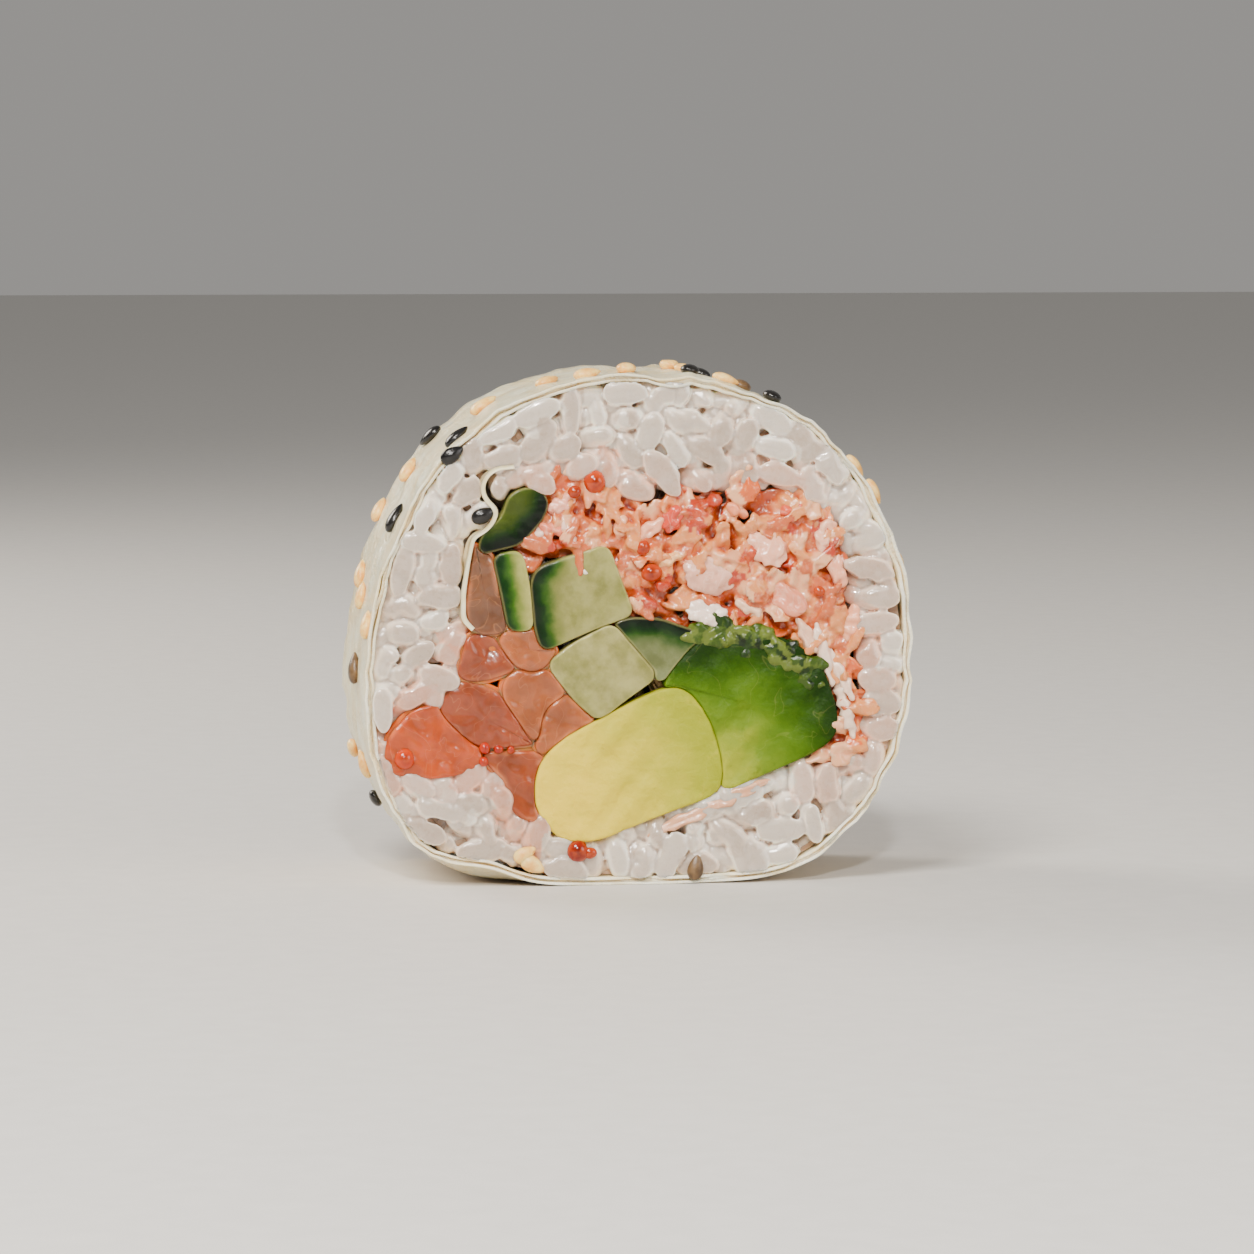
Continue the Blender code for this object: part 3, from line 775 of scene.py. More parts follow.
# Larger flakes and sticks at the cut: place, length, width, turn in degrees, colour as seen
FLAKES = [
    (13.1, 34.9, 4.8, 3.6, -45, (240, 172, 140)), (7.0, 31.9, 5.6, 3.7, -12, (226, 168, 142)),
    (6.8, 28.1, 4.6, 2.6, -15, (240, 214, 196)), (3.2, 37.7, 3.0, 2.0, 55, (208, 66, 40)),
    (1.0, 36.8, 3.3, 1.5, 40, (242, 168, 132)), (3.1, 33.7, 3.1, 1.0, 20, (248, 184, 122)),
    (15.4, 29.4, 4.0, 3.0, -50, (226, 140, 106)), (19.4, 35.8, 3.5, 2.8, 70, (244, 176, 142)),
    (19.2, 23.6, 7.0, 1.3, -72, (238, 206, 182)), (22.0, 26.7, 4.2, 2.0, 80, (242, 166, 128)),
    (21.4, 18.0, 6.4, 1.4, -76, (236, 204, 178)), (-8.3, 39.4, 3.2, 1.5, 30, (242, 166, 138)),
    (-9.4, 36.8, 2.8, 1.3, -20, (230, 128, 96)), (-6.1, 43.1, 4.2, 1.2, 12, (238, 180, 138)),
    (17.2, 25.6, 4.4, 1.4, -60, (232, 182, 150)), (11.4, 28.4, 3.0, 1.5, -30, (242, 194, 158)),
    (-2.2, 37.0, 2.6, 1.2, 75, (244, 166, 120)), (20.9, 21.6, 5.8, 1.1, -66, (240, 202, 176)),
    (15.8, 38.6, 2.8, 1.2, 15, (214, 88, 56)), (9.8, 38.6, 2.4, 1.3, -30, (236, 144, 100)),
    (-6.2, 32.6, 1.9, 1.0, -45, (250, 234, 214)), (-7.6, 36.2, 3.4, 1.1, -65, (242, 194, 172)),
    (-10.6, 36.0, 2.6, 1.0, -80, (242, 200, 180)), (20.4, 32.2, 4.0, 1.8, -75, (240, 164, 128)),
    (7.0, 7.8, 14.0, 1.5, 24, (216, 158, 120)),
]


def make_crab(outlines, look):
    """Shredded crab fused into one moist mass at each cut, with larger flakes laid into it."""
    seen = counterclockwise(np.array(CRAB_SEEN))
    others = [outlines[name] for name in outlines if name not in ("crab", "rice")]
    ground = Ground(seen + outward(seen) * 0.5, others)
    tints = [np.array(linear(tint)) for tint in CRAB_TINTS]
    for side in sides():
        rng = np.random.default_rng(21 + side)
        heap = Heap()
        shades = []
        centres = []
        for sunk, density in ((0.7, 0.24), (1.5, 0.32)):
            for x, z in ground.scatter(int(ground.area * density), 0.3, rng):
                kind = SCRAPS[rng.choice(3, p=[scrap[0] for scrap in SCRAPS])]
                length, width, thick = (rng.uniform(*span) for span in kind[1:4])
                points, faces = lump(length, width, thick, kind[4], rng)
                tilt, roll = rng.uniform(-0.5, 0.5), rng.uniform(-0.6, 0.6)
                points = turned(points, rng.uniform(0, math.pi), tilt, roll)
                centre = np.array([x, side * (FACE - sunk + rng.uniform(-0.5, 0.5)), z])
                heap.add(points + centre, faces, (1, 1, 1))
                centres.append(centre)
                shades.append(tints[rng.choice(5, p=CRAB_SHARES)])
        points, faces = slab_mesh(seen - outward(seen) * 0.5, 0.3, -1.0, 1.0, 0.35, 3)
        heap.add(points + (0, side * (FACE - 2.3), 0), faces, (1, 1, 1))
        mass = heap.make(f"crab_salad_{'front' if side < 0 else 'back'}", look.material, "crab")
        fuse(mass, 0.2, look)
        cut_behind(mass, side, 2.4)
        points = points_of(mass)
        normals = normals_of(mass)
        ruffle = 0.06 * (1 - 2 * np.abs(waves(points, 1.6, 5)))
        points += normals * ruffle[:, None]
        points[:, 1] = np.clip(points[:, 1], -FACE - 0.25, FACE + 0.4)
        put_points(mass, points)
        hollow = np.maximum(hollows(mass, points, 8), 0.7 * hollows(mass, points, 30))
        warped = points + 0.3 * np.column_stack([waves(points, 1.1, seed) for seed in (1, 2, 3)])
        colours = nearest_shades(warped, centres, shades)
        behind = FACE - side * points[:, 1]
        spots = np.zeros(len(points))
        for x, z, reach in SAUCE:
            away = np.linalg.norm(points[:, [0, 2]] - (x, z), axis=1)
            spots = np.maximum(spots, smoothstep(reach * 1.5, reach * 0.3, away))
        # Partly real sauce in the spots, partly painted shade: crevices and what lies deeper behind the cut
        # turn sauce orange
        sauce_and_shade = smoothstep(0.0, 0.2, hollow) * 0.7 + smoothstep(0.6, 1.5, behind) * 0.7
        colours = blend_shades(sauce_and_shade + spots * 0.35, colours, np.array(linear((212, 92, 26))))
        # Painted shade: dark red in the deepest crevices and further behind the cut, stronger in the sauce
        # spots
        deep = smoothstep(0.08, 0.34, hollow) * 0.75 + smoothstep(0.8, 1.6, behind) * 0.6
        colours = blend_shades(deep * (0.8 + spots), colours, np.array(linear((124, 22, 2))))
        hold_colour(mass, colours)
        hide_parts("crab")


def make_flakes(look):
    """Larger flakes of white and pink crab that stand out at the cuts."""
    for side in sides():
        rng = np.random.default_rng(61 + side)
        heap = Heap()
        for x, z, length, width, degrees, tint in FLAKES:
            points, faces = lump(length, width, 1.1, 0.2, rng, BALL_DENSE)
            grain = 0.05 * np.sin(points[:, 2] * 9 + waves(points[:, [0, 2]], 2.0, 4, 5) * 1.5)
            points[:, 1] += grain * np.sign(points[:, 1])
            points = turned(points, math.radians(degrees), rng.uniform(-0.15, 0.15), rng.uniform(-0.25, 0.25))
            points += (x, side * (FACE - 0.55 + rng.uniform(-0.25, 0.1)), z)
            points[:, 1] = np.clip(points[:, 1], -FACE - 0.3, FACE + 0.4)
            heap.add(points, faces, linear(tint))
        flakes = heap.make(f"crab_flakes_{'front' if side < 0 else 'back'}", look.material, "crab")
        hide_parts("crab")


# Beads of roe at the cut: place, radius, colour as seen, the node they lie on
ROE = [
    (-4.9, 41.7, 1.2, (176, 50, 1), "crab"), (1.0, 32.3, 1.1, (170, 48, 1), "crab"),
    (0.1, 34.9, 0.8, (166, 42, 1), "crab"), (-7.0, 40.7, 0.7, (150, 38, 1), "crab"),
    (18.5, 30.2, 0.6, (180, 62, 4), "crab"), (-6.7, 3.6, 1.2, (136, 26, 1), "rice"),
    (-5.4, 3.4, 0.7, (170, 50, 2), "rice"), (-24.6, 13.4, 1.1, (190, 52, 1), "salmon_7"),
    (-16.3, 14.4, 0.6, (180, 26, 3), "salmon_6"), (-14.9, 14.3, 0.5, (170, 24, 2), "salmon_6"),
    (-16.4, 13.0, 0.5, (180, 32, 4), "salmon_8"), (-13.6, 14.2, 0.4, (180, 40, 5), "salmon_6"),
]


def make_roe(look):
    """Beads of roe and drops of its oil, gathered in one piece for each thing they lie on."""
    for node in dict.fromkeys(bead[4] for bead in ROE):
        heap = Heap()
        rng = np.random.default_rng(5)
        for x, z, radius, tint, host in ROE:
            if host != node:
                continue
            for side in sides():
                ball, faces = BALL_FINE
                points = ball * (radius, radius * 0.8, radius * rng.uniform(0.8, 1.0))
                points += 0.03 * waves(points, 1.6, int(rng.integers(1e6)), 5)[:, None] * ball
                points = turned(points, rng.uniform(0, 3), 0, 0)
                points += (x, side * (FACE - radius * 0.3), z)
                # Painted shade: each bead is darker through its middle than round its rim
                away = np.linalg.norm(points[:, [0, 2]] - (x, z), axis=1) / radius
                bright = np.tile(linear(tint), (len(points), 1))
                colours = blend_shades(smoothstep(0.2, 0.75, away), bright * 0.45, bright)
                heap.add(points, faces, colours)
        heap.make(f"roe_on_{node}", look.material, "crab")


def roe_look():
    look = Look("roe_wet", 0.15, specular_ior_level=0.4, coat_weight=0.25, coat_roughness=0.03)
    look.subsurface(0.1, (1.0, 0.3, 0.1), 0.4)
    cloud = look.fit(look.noise(0.7, 2), 0.35, 0.7, 0.0, 0.4)
    look.colour(look.mix(cloud, look.paint(), (200, 74, 8)))
    look.bump(look.noise(0.9, 2), 0.02, 0.3)
    return look


def fuse(obj, size, look):
    """Joins overlapping shapes into one surface with quads of `size` millimetres."""
    remesh = obj.modifiers.new("fuse", "REMESH")
    remesh.mode = "VOXEL"
    remesh.voxel_size = size * MM
    graph = bpy.context.evaluated_depsgraph_get()
    obj.data = bpy.data.meshes.new_from_object(obj.evaluated_get(graph))
    obj.modifiers.clear()
    obj.data.materials.clear()
    obj.data.materials.append(look.material)
    obj.data.shade_smooth()


def normals_of(obj):
    normals = np.empty(len(obj.data.vertices) * 3, np.float32)
    obj.data.vertex_normals.foreach_get("vector", normals)
    return normals.reshape(-1, 3)


def put_points(obj, points):
    obj.data.vertices.foreach_set("co", (boxed(points) * MM).astype(np.float32).ravel())
    obj.data.update()


def hollows(obj, points, rounds):
    """How far each point lies under its smoothed surroundings, in millimetres: crevices are deep."""
    edges = np.empty(len(obj.data.edges) * 2, np.int32)
    obj.data.edges.foreach_get("vertices", edges)
    a, b = edges.reshape(-1, 2).T
    degree = np.bincount(a, minlength=len(points)) + np.bincount(b, minlength=len(points))
    normals = np.empty(len(points) * 3, np.float32)
    obj.data.vertex_normals.foreach_get("vector", normals)
    smooth = points.copy()
    for _ in range(rounds):
        total = np.zeros_like(smooth)
        for axis in range(3):
            total[:, axis] = np.bincount(a, smooth[b, axis], len(points))
            total[:, axis] += np.bincount(b, smooth[a, axis], len(points))
        smooth = total / np.maximum(degree, 1)[:, None]
    return ((smooth - points) * normals.reshape(-1, 3)).sum(axis=1)


def crab_look():
    look = Look("crab_moist", 0.3, specular_ior_level=0.5, coat_weight=0.4, coat_roughness=0.1)
    look.subsurface(0.7, (1.0, 0.5, 0.3), 0.4)
    fibre = look.noise(0.5, 3, 0.6)
    lighter = look.mix(0.3, look.paint(), (250, 206, 170))
    look.colour(look.mix(look.fit(fibre, 0.5, 0.7, 0.0, 0.8), look.paint(), lighter))
    look.bump(look.noise(0.5, 3, 0.5), 0.04, 0.6)
    return look


def flake_look():
    look = Look("crab_flake", 0.28, specular_ior_level=0.5, coat_weight=0.4, coat_roughness=0.15)
    look.subsurface(0.35, (1.0, 0.75, 0.6), 0.5)
    vein = look.sum(look.sum(look.noise(2.4, 3, 0.6, (1, 1, 1), 0.8), -0.5), 0, "ABSOLUTE")
    paler = look.mix(0.5, look.paint(), (255, 232, 208))
    look.colour(look.mix(look.fit(vein, 0.0, 0.03, 0.4, 0.0), look.paint(), paler))
    look.bump(look.noise(0.7, 4, 0.6), 0.10, 0.8)
    return look


# Cucumber, avocado, salmon and the film


def cucumber_look():
    look = Look("cucumber_wet", 0.3, specular_ior_level=0.2, coat_weight=0.1, coat_roughness=0.08)
    look.subsurface(0.7, (0.8, 1.0, 0.5), 1.2)
    skin = look.sum(look.value("skin"), look.fit(look.noise(1.2, 3), 0.2, 0.8, -0.25, 0.25))
    flesh = look.ramp(look.fit(look.noise(2.2, 4, 0.6), 0.25, 0.75), [
        (0.0, (134, 132, 72)), (0.5, (160, 156, 96)), (1.0, (182, 176, 118)),
    ])
    band = look.ramp(look.fit(skin, 0.0, 4.0), [
        (0.0, (2, 24, 1)), (0.16, (8, 48, 3)), (0.34, (52, 92, 14)), (0.62, (116, 126, 62)),
        (1.0, (158, 154, 94)),
    ])
    base = look.mix(look.fit(skin, 1.6, 4.0), band, flesh)
    base = look.mix(1.0, base, look.paint(), "MULTIPLY")
    # Painted highlight: a pale line round the rim of each cut face
    rim = look.fit(look.value("edge"), 0.05, 0.3, 0.2, 0.0)
    look.colour(look.mix(rim, base, (196, 184, 116)))
    look.bump(look.noise(0.5, 3, 0.6), 0.05, 0.6)
    return look


def avocado_look(name, stops, speck):
    look = Look(name, 0.45, specular_ior_level=0.12)
    look.subsurface(0.4, (1.0, 0.9, 0.35), 0.8)
    wander = look.fit(look.noise(5.0, 3, 0.6), 0.2, 0.8, -1.6, 1.6)
    depth = look.fit(look.sum(look.value("skin"), wander), -1.0, 19.0)
    base = look.ramp(depth, stops)
    blotch = look.fit(look.noise(1.4, 4, 0.65), 0.55, 0.75, 0.0, 0.4)
    base = look.mix(blotch, base, speck)
    thread = look.sum(look.sum(look.noise(4.5, 2, 0.5, (1, 1, 1), 0.6), -0.5), 0, "ABSOLUTE")
    lines = look.fit(thread, 0.0, 0.008, 0.05, 0.0)
    look.colour(look.mix(lines, base, (230, 216, 120)))
    look.bump(look.sum(look.noise(2.5, 3), look.noise(0.6, 4, 0.6)), 0.22, 0.7)
    return look


def salmon_look():
    look = Look("salmon_raw", 0.25, specular_ior_level=0.4, coat_weight=0.3, coat_roughness=0.08)
    look.subsurface(0.9, (1.0, 0.45, 0.25), 1.6)
    flesh = look.ramp(look.fit(look.noise(2.6, 4, 0.6), 0.25, 0.75), [
        (0.0, (206, 200, 196)), (0.5, (232, 228, 226)), (1.0, (255, 252, 250)),
    ])
    flesh = look.mix(1.0, flesh, look.paint(), "MULTIPLY")
    thread = look.sum(look.sum(look.noise(4.0, 2, 0.5, (1, 1, 1), 0.9), -0.5), 0, "ABSOLUTE")
    flesh = look.mix(look.fit(thread, 0.0, 0.010, 0.18, 0.0), flesh, (224, 146, 96))
    patches = look.fit(look.noise(3.5, 2), 0.45, 0.65)
    rim = look.sum(look.fit(look.value("edge"), 0.0, 0.7, 0.5, 0.0), patches, "MULTIPLY")
    look.colour(look.mix(rim, flesh, (226, 138, 88)))
    look.bump(look.noise(1.0, 3, 0.5), 0.10, 0.5)
    return look


def film_look():
    look = Look("film_damp", 0.3, specular_ior_level=0.5)
    look.subsurface(0.6, (1.0, 0.9, 0.7), 0.7)
    look.colour(look.ramp(look.noise(1.5, 3), [(0.3, (236, 216, 160)), (0.7, (252, 238, 196))]))
    look.bump(look.noise(0.7, 3), 0.05, 0.5)
    return look


# Where each cucumber piece has its dark skin, as a line on the cut face; one piece has none
CUCUMBER_SKIN = {
    "cucumber_1": None,
    "cucumber_2": [(-3.6, 26.8), (-1.4, 27.7), (2.2, 27.5), (6.4, 25.9)],
    "cucumber_3": [(-10.4, 33.4), (-11.6, 31.6), (-11.2, 27.0), (-10.6, 24.2)],
    "cucumber_4": [(-15.7, 34.4), (-15.0, 30.0), (-14.5, 26.4)],
    "cucumber_5": [(-9.3, 40.4), (-10.0, 38.2), (-12.6, 35.3), (-17.0, 34.2)],
}
# How much each cucumber piece is darkened by its skin's green
CUCUMBER_SHADES = (
    (230, 230, 222), (176, 190, 200), (220, 222, 206), (250, 252, 226), (106, 130, 54),
)
# The side of the avocado that lay against its skin, and the seam between its two pieces
AVOCADO_SKIN = [(5.4, 25.6), (10.0, 25.0), (14.6, 25.8), (18.6, 23.0), (20.4, 18.6), (20.7, 15.0)]
AVOCADO_SEAM = [(3.9, 20.8), (6.2, 18.4), (7.8, 15.0), (8.6, 9.6)]


def make_cucumber(outlines, look):
    for number, (name, line) in enumerate(CUCUMBER_SKIN.items()):
        piece = slab(name + "_cut", outlines[name], look.material, seed=number)
        flat = points_of(piece)[:, [0, 2]]
        far = np.full(len(flat), 9.0)
        hold(piece, "skin", far if line is None else distance_to(flat, np.array(line), False))
        hold_colour(piece, np.broadcast_to(linear(CUCUMBER_SHADES[number]), (len(flat), 3)))
        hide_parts(name)


def make_avocado(outlines, yellow, green):
    for name, look, line in (
        ("avocado_yellow", yellow, AVOCADO_SEAM), ("avocado_green", green, AVOCADO_SKIN),
    ):
        piece = slab(name + "_cut", outlines[name], look.material, 0.3, 0.0, 0.12, 31)
        hold(piece, "skin", distance_to(points_of(piece)[:, [0, 2]], np.array(line), False))
        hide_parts(name)


# Where the avocado's top is mashed: place of each cluster
MUSH = [(6.2, 26.0), (8.2, 25.8), (10.4, 25.8), (12.4, 25.4), (14.4, 24.6), (16.4, 23.2), (17.6, 21.8)]


def make_mush(look):
    """Mashed bits of avocado along its upper side at both cuts, melted into each other."""
    tints = ((50, 72, 8), (24, 48, 2), (88, 102, 34), (12, 30, 1))
    for side in sides():
        rng = np.random.default_rng(77)
        heap = Heap()
        centres = []
        shades = []
        for x, z in MUSH:
            for _ in range(7):
                points, faces = lump(rng.uniform(1.6, 3.4), rng.uniform(1.2, 2.0), 1.1, 0.2, rng)
                points = turned(points, rng.uniform(-0.6, 0.6), 0, 0)
                centre = np.array([x + rng.normal(0, 0.8), side * (FACE - 0.45), z + rng.normal(-0.2, 0.45)])
                heap.add(points + centre, faces, (1, 1, 1))
                centres.append(centre)
                shades.append(linear(tints[rng.choice(4, p=(0.32, 0.34, 0.16, 0.18))]))
        mash = heap.make(f"avocado_mash_{'front' if side < 0 else 'back'}", look.material, "avocado_green")
        fuse(mash, 0.17, look)
        points = points_of(mash)
        hollow = hollows(mash, points, 6)
        colours = nearest_shades(points, centres, shades)
        # Painted shade: the hollows between the mashed bits are darkened
        dark = np.array(linear((20, 40, 2)))
        hold_colour(mash, blend_shades(smoothstep(0.02, 0.25, hollow), colours, dark))


def mush_look():
    look = Look("avocado_mash", 0.3, specular_ior_level=0.25, coat_weight=0.15, coat_roughness=0.1)
    look.subsurface(0.3, (0.9, 1.0, 0.5), 0.4)
    look.colour(look.mix(look.fit(look.noise(0.8, 3), 0.5, 0.7, 0.0, 0.3), look.paint(), (112, 130, 50)))
    look.bump(look.noise(0.4, 3), 0.05, 0.6)
    return look


# The tint of each piece of salmon, from the thin upper wedge to the one beside the avocado
SALMON_SHADES = {
    "salmon_1": (120, 78, 50), "salmon_2": (172, 98, 54), "salmon_3": (156, 74, 38),
    "salmon_4": (168, 92, 46), "salmon_5": (168, 92, 46), "salmon_6": (154, 70, 34),
    "salmon_7": (186, 76, 20), "salmon_8": (150, 66, 22),
}


def make_salmon(outlines, room, look, glow):
    bed = Heap()
    paper = Ground(room)
    for number, (name, shade) in enumerate(SALMON_SHADES.items()):
        sunk = 0.08 + 0.1 * (number % 3)
        piece = slab(name + "_cut", outlines[name], look.material, 0.25, sunk, 0.12, 50 + number)
        count = len(piece.data.vertices)
        hold_colour(piece, np.broadcast_to(linear(shade), (count, 3)))
        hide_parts(name)
        # Behind each piece an orange sheet shows in the gaps between pieces: painted glow of light through
        # the salmon
        wide = outlines[name] + outward(outlines[name]) * 0.5
        deep = FACE - 0.55 - 0.03 * number
        points, faces = slab_mesh(wide, 0.2, -deep, deep, 0.08, 7)
        bed.add(paper.held(points, 0.0), faces, linear((214, 98, 30)))
    bed.make("salmon_gap_glow", glow.material, "salmon")


# The orange sheet between the salmon pieces: painted glow of light through the salmon
def glow_look():
    look = Look("salmon_gap_glow", 0.2, specular_ior_level=0.5, coat_weight=0.5, coat_roughness=0.1)
    look.subsurface(0.9, (1.0, 0.4, 0.15), 1.2)
    look.colour(look.mix(look.fit(look.noise(1.6, 3), 0.35, 0.7), look.paint(), (206, 116, 52)))
    look.bump(look.noise(0.8, 3), 0.06, 0.5)
    return look


# The free end of the paper that curls between the rice and the fillings
FILM_PATH = [
    (-13.2, 43.4), (-15.6, 43.0), (-16.7, 41.8), (-16.2, 39.9), (-14.8, 38.9), (-15.6, 37.2), (-17.8, 36.0),
    (-18.2, 32.0), (-18.7, 27.6), (-17.6, 26.6),
]
FILM_HALF = 0.22


def make_film(look):
    """A thin sheet along its path, from one cut to the other."""
    path = np.array(FILM_PATH)
    along = np.concatenate([[0.0], np.cumsum(np.linalg.norm(np.diff(path, axis=0), axis=1))])
    steps = np.linspace(0, along[-1], 70)
    path = np.column_stack([np.interp(steps, along, path[:, axis]) for axis in (0, 1)])
    for _ in range(12):
        path[1:-1] = 0.5 * path[1:-1] + 0.25 * (path[2:] + path[:-2])
    slope = np.gradient(path, axis=0)
    normal = np.column_stack([slope[:, 1], -slope[:, 0]])
    normal /= np.linalg.norm(normal, axis=1)[:, None]
    ring = np.vstack([path + normal * FILM_HALF, (path - normal * FILM_HALF)[::-1]])
    rows = []
    for y in np.linspace(-FACE - 0.15, FACE + 0.15, 26):
        flat = ring + 0.12 * waves(np.column_stack([ring, np.full(len(ring), y)]), 5.0, 14)[:, None]
        rows.append(np.column_stack([flat[:, 0], np.full(len(ring), y), flat[:, 1]]))
    count = len(ring)
    last = len(rows) * count
    faces = grid_faces(len(rows), count)
    for column in range(count // 2 - 1):
        mate = count - 1 - column
        faces.append((column, column + 1, mate - 1, mate))
        faces.append((last - count + column, last - 1 - column, last - 2 - column, last - count + column + 1))
    film = new_object("inner_film_curl", np.vstack(rows), faces, look.material)
    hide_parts("inner_film")


# Wrapper and seeds

# Each layer of the paper: how deep its outer side lies, how thick it is, how far it ends short of
# the cut face
LAYERS = ((0.0, 0.26, 0.05), (0.22, 0.36, 0.40), (0.54, 0.26, 0.0))


PAPER_COLUMNS = 480
PAPER_ROWS = 20

# The paper's front edge rises at the lower left: place, reach, height, up to where, and how far back
LIFT_PLACE = -16.5
LIFT_REACH = 4.0
LIFT = 1.5
LIFT_TOP = 14.0
LIFT_BAND = 3.5


def raised(outline):
    """How much higher each point of the paper lies at the front edge."""
    x, z = outline.T
    low = np.clip((LIFT_TOP - z) / (0.7 * LIFT_TOP), 0.0, 1.0)
    return LIFT * np.exp(-(((x - LIFT_PLACE) / LIFT_REACH) ** 2)) * low


def make_wrapper(outlines, look):
    """Thin layers of paper over each other, wrinkled and wavy at the cuts."""
    outline = evenly(outlines["wrapper"], PAPER_COLUMNS)
    outline = softened(outline, 6)
    outline[:, 1] = np.maximum(outline[:, 1], 0.0)
    normal = outward(outline)
    lift = raised(outline)
    turn = np.arange(PAPER_COLUMNS) / PAPER_COLUMNS * 2 * math.pi
    circle = np.column_stack([np.cos(turn), np.sin(turn)]) * 28
    free = smoothstep(0.3, 4.0, outline[:, 1])
    for layer, (inset, thickness, short) in enumerate(LAYERS):
        outer = []
        inner = []
        for row in range(PAPER_ROWS + 1):
            share = row / PAPER_ROWS
            end = abs(2 * share - 1) ** 6
            edge = FACE - 0.1 - short
            y = (2 * share - 1) * (edge - 0.18 * end * (1 + waves(circle, 6.0, 70 + layer)))
            spots = np.column_stack([circle, y])
            crease = 0.14 * waves(spots * (0.3, 0.3, 1.0), 3.6, 80) * free
            crease += 0.08 * (1 - 2 * np.abs(waves(spots * (1, 1, 0.3), 4.5, 88))) * free
            crease += 0.10 * end * waves(circle, 7.0, 60 + layer) * free
            depth = inset + 0.28 * free - crease
            base = outline - normal * depth[:, None]
            front = np.clip(1 - (y + FACE) / LIFT_BAND, 0.0, 1.0)
            base[:, 1] += lift * (np.maximum(front, 0.35 * layer) if layer else front)
            base[:, 1] = np.maximum(base[:, 1], 0.02 + inset)
            outer.append(np.column_stack([base[:, 0], y, base[:, 1]]))
            base = base - normal * thickness
            inner.append(np.column_stack([base[:, 0], y, base[:, 1]]))
        rows = outer + inner[::-1] + outer[:1]
        faces = grid_faces(len(rows), PAPER_COLUMNS)
        points = np.vstack(rows)
        sheet = new_object(f"paper_layer_{layer + 1}", points, faces, look.material)
        hold(sheet, "cut", FACE - np.abs(points[:, 1]))
        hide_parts("wrapper")


def paper_look():
    look = Look("soy_paper_damp", 0.3, specular_ior_level=0.5, coat_weight=0.3, coat_roughness=0.2)
    look.subsurface(0.8, (1.0, 0.86, 0.66), 1.0)
    base = look.ramp(look.fit(look.noise(4.0, 4, 0.6), 0.25, 0.75), [
        (0.0, (238, 204, 152)), (0.5, (250, 222, 176)), (1.0, (255, 238, 200)),
    ])
    stain = look.fit(look.noise(6.0, 3, 0.6), 0.6, 0.78, 0.0, 0.4)
    base = look.mix(stain, base, (248, 208, 130))
    # Painted highlight: the paper turns paler close to each cut, a bright line along its edge
    rim = look.fit(look.value("cut"), 0.1, 0.6, 0.6, 0.0)
    look.colour(look.mix(rim, base, (254, 248, 220)))
    look.bump(look.sum(look.noise(1.8, 4, 0.6, (4, 1, 4), 0.6), look.noise(0.5, 3)), 0.3, 0.8)
    return look


# Seeds that the front shows: share of the way round the paper, clockwise from the left, place
# along the roll, turn in degrees, kind
SEEDS = [
    (0.268, -3.0, 60, "golden"), (0.240, -9.6, 20, "golden"), (0.300, 4.0, 85, "golden"),
    (0.303, -7.5, 75, "black"), (0.322, -10.2, 10, "golden"), (0.308, 1.0, 40, "golden"),
    (0.219, -6.0, 35, "golden"), (0.182, -1.5, 15, "golden"), (0.156, -10.0, 5, "black"),
    (0.126, 4.0, 30, "golden"), (0.098, -6.5, 10, "black"), (0.059, 5.5, 20, "golden"),
    (0.048, 1.0, 0, "golden"), (0.036, -10.3, 25, "golden"), (0.335, -7.0, 70, "brown"),
    (0.350, -10.4, 85, "black"), (0.415, -9.0, 20, "golden"), (0.432, -10.5, 10, "golden"),
    (0.478, -8.5, 15, "golden"), (0.008, -4.0, 12, "brown"),
]
MORE_SEEDS = 18
SEED_CLEAR = (0.029, 4.5)
SEED_SIZE = (3.3, 2.0, 1.25)


def seed_places():
    """The seeds that the front shows and, by the same draw as the solids, those on the rest."""
    rng = random.Random(11)
    seeds = list(SEEDS)
    while len(seeds) < len(SEEDS) + MORE_SEEDS:
        share = rng.uniform(0.0, 0.97)
        y = rng.uniform(-FACE + 2.0, FACE - 2.0)
        near_front = share < 0.5 and y < FACE / 2
        too_near = any(
            abs(share - other) < SEED_CLEAR[0] and abs(y - other_y) < SEED_CLEAR[1]
            for other, other_y, _, _ in seeds
        )
        if not near_front and not too_near:
            kind = ("golden", "black", "golden", "brown", "golden", "black")[len(seeds) % 6]
            seeds.append((share, y, rng.uniform(0, 180), kind))
    return seeds


# Seeds that lie in the cut face or between the layers: place, turn in degrees, kind
LOOSE_SEEDS = [
    (-16.4, 38.4, 25, "black"), (-19.6, 44.6, 35, "black"), (5.6, 1.7, 80, "brown"),
    (-12.2, 3.4, 30, "golden"), (-11.4, 2.3, -30, "golden"),
]


def seed_shape(rng):
    """A sesame seed: a flat drop, narrowing towards one end."""
    ball, faces = BALL_FINE
    x = ball[:, 0]
    taper = 1 - 0.30 * x - 0.12 * x**2
    points = ball * SEED_SIZE / 2
    points[:, 1] *= taper
    points[:, 2] *= taper
    points *= rng.uniform(0.9, 1.04)
    return points, faces


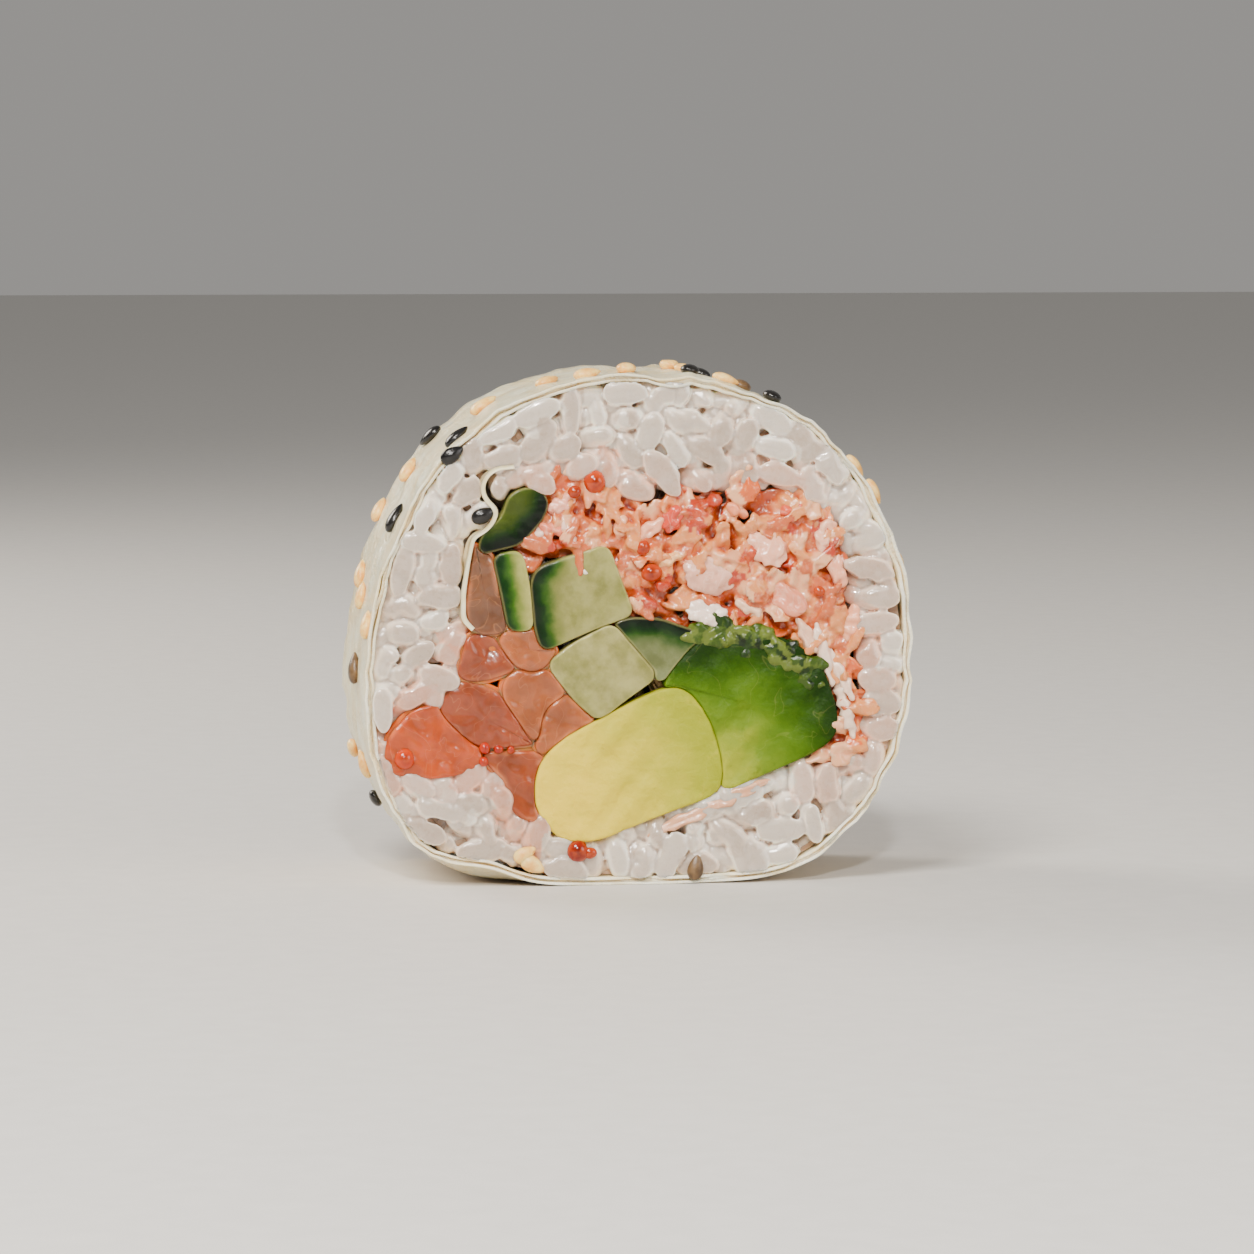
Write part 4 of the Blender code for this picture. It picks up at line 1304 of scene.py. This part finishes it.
def make_seeds(outlines, looks):
    outline = evenly(outlines["wrapper"], 90)
    normal = outward(outline)
    heaps = {kind: Heap() for kind in looks}
    rng = np.random.default_rng(8)
    start = int(np.argmin(outline[:, 0]))
    for share, y, degrees, kind in seed_places():
        index = (start - share * len(outline)) % len(outline)
        low = int(index)
        part = index - low
        place = outline[low] * (1 - part) + outline[(low + 1) % 90] * part
        out = normal[low] * (1 - part) + normal[(low + 1) % 90] * part
        out /= np.linalg.norm(out)
        if place[1] < 4.0:
            continue
        away = Vector((out[0], 0.0, out[1]))
        across = Vector((0.0, 1.0, 0.0))
        axes = Matrix((across.cross(away), across, away)).transposed()
        turn = axes @ Matrix.Rotation(math.radians(degrees), 3, "Z")
        points, faces = seed_shape(rng)
        points = points @ np.array(turn).T + np.array([place[0], y, place[1]]) + np.array(away) * 0.06
        shade = 1 + rng.uniform(-0.12, 0.12)
        heaps[kind].add(points, faces, (shade, shade, shade))
    for x, z, degrees, kind in LOOSE_SEEDS:
        points, faces = seed_shape(rng)
        points = turned(points[:, [0, 2, 1]] * 0.85, math.radians(degrees), 0, 0)
        heaps[kind].add(points + (x, 0.1 - FACE, z), faces, (1, 1, 1))
    for kind, heap in heaps.items():
        seeds = heap.make(f"sesame_{kind}", looks[kind].material, "soy_paper")
        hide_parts("wrapper")


def seed_look(kind, dark, light, roughness):
    look = Look(f"sesame_{kind}", roughness, specular_ior_level=0.5)
    base = look.ramp(look.fit(look.noise(0.8, 3), 0.25, 0.75), [(0.0, dark), (1.0, light)])
    look.colour(look.mix(0.6, base, look.paint(), "MULTIPLY"))
    look.bump(look.noise(0.25, 3, 0.6), 0.04, 0.7)
    if kind == "golden":
        look.subsurface(0.3, (1.0, 0.7, 0.4), 0.5)
    return look


# Everything together


def hollow_outline(names, outlines):
    """One outline round all the fillings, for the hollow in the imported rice."""
    middle = np.array([-1.0, 24.0])
    ring = []
    fillings = [outlines[name] for name in names]
    for step in range(180):
        angle = 2 * math.pi * step / 180
        way = np.array([math.cos(angle), math.sin(angle)])
        steps = np.arange(2.0, 32.0, 0.25)
        track = middle + steps[:, None] * way
        within = np.zeros(len(steps), bool)
        for filling in fillings:
            within |= inside(track, filling)
        reach = steps[within].max() if within.any() else 3.0
        ring.append(middle + way * (reach + 0.3))
    return counterclockwise(softened(np.array(ring), 2))


def build():
    outlines = {name: section(name)[0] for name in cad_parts}
    room = section("wrapper")[1]
    fillings = [name for name in outlines if name not in ("wrapper", "rice")]
    food = {name: outline for name, outline in outlines.items() if name != "wrapper"}
    make_camera()
    make_studio()
    rice = rice_look()
    make_rice(food, room, rice)
    make_rice_core(room, hollow_outline(fillings, outlines), rice)
    crab = crab_look()
    make_crab(food, crab)
    make_flakes(flake_look())
    make_roe(roe_look())
    make_cucumber(outlines, cucumber_look())
    make_avocado(
        outlines,
        avocado_look("avocado_flesh_yellow", [
            (0.0, (150, 156, 30)), (0.25, (178, 172, 46)), (0.6, (208, 188, 54)), (1.0, (226, 198, 60)),
        ], (196, 180, 50)),
        avocado_look("avocado_flesh_green", [
            (0.0, (16, 42, 1)), (0.12, (42, 74, 2)), (0.28, (74, 106, 6)), (0.5, (104, 128, 24)),
            (0.75, (158, 162, 44)), (1.0, (180, 176, 54)),
        ], (56, 88, 4)),
    )
    make_mush(mush_look())
    make_salmon(outlines, room, salmon_look(), glow_look())
    make_film(film_look())
    make_wrapper(outlines, paper_look())
    make_seeds(outlines, {
        "golden": seed_look("golden", (234, 166, 70), (255, 218, 134), 0.35),
        "black": seed_look("black", (10, 9, 9), (28, 26, 24), 0.2),
        "brown": seed_look("brown", (70, 50, 30), (120, 92, 58), 0.35),
    })


build()
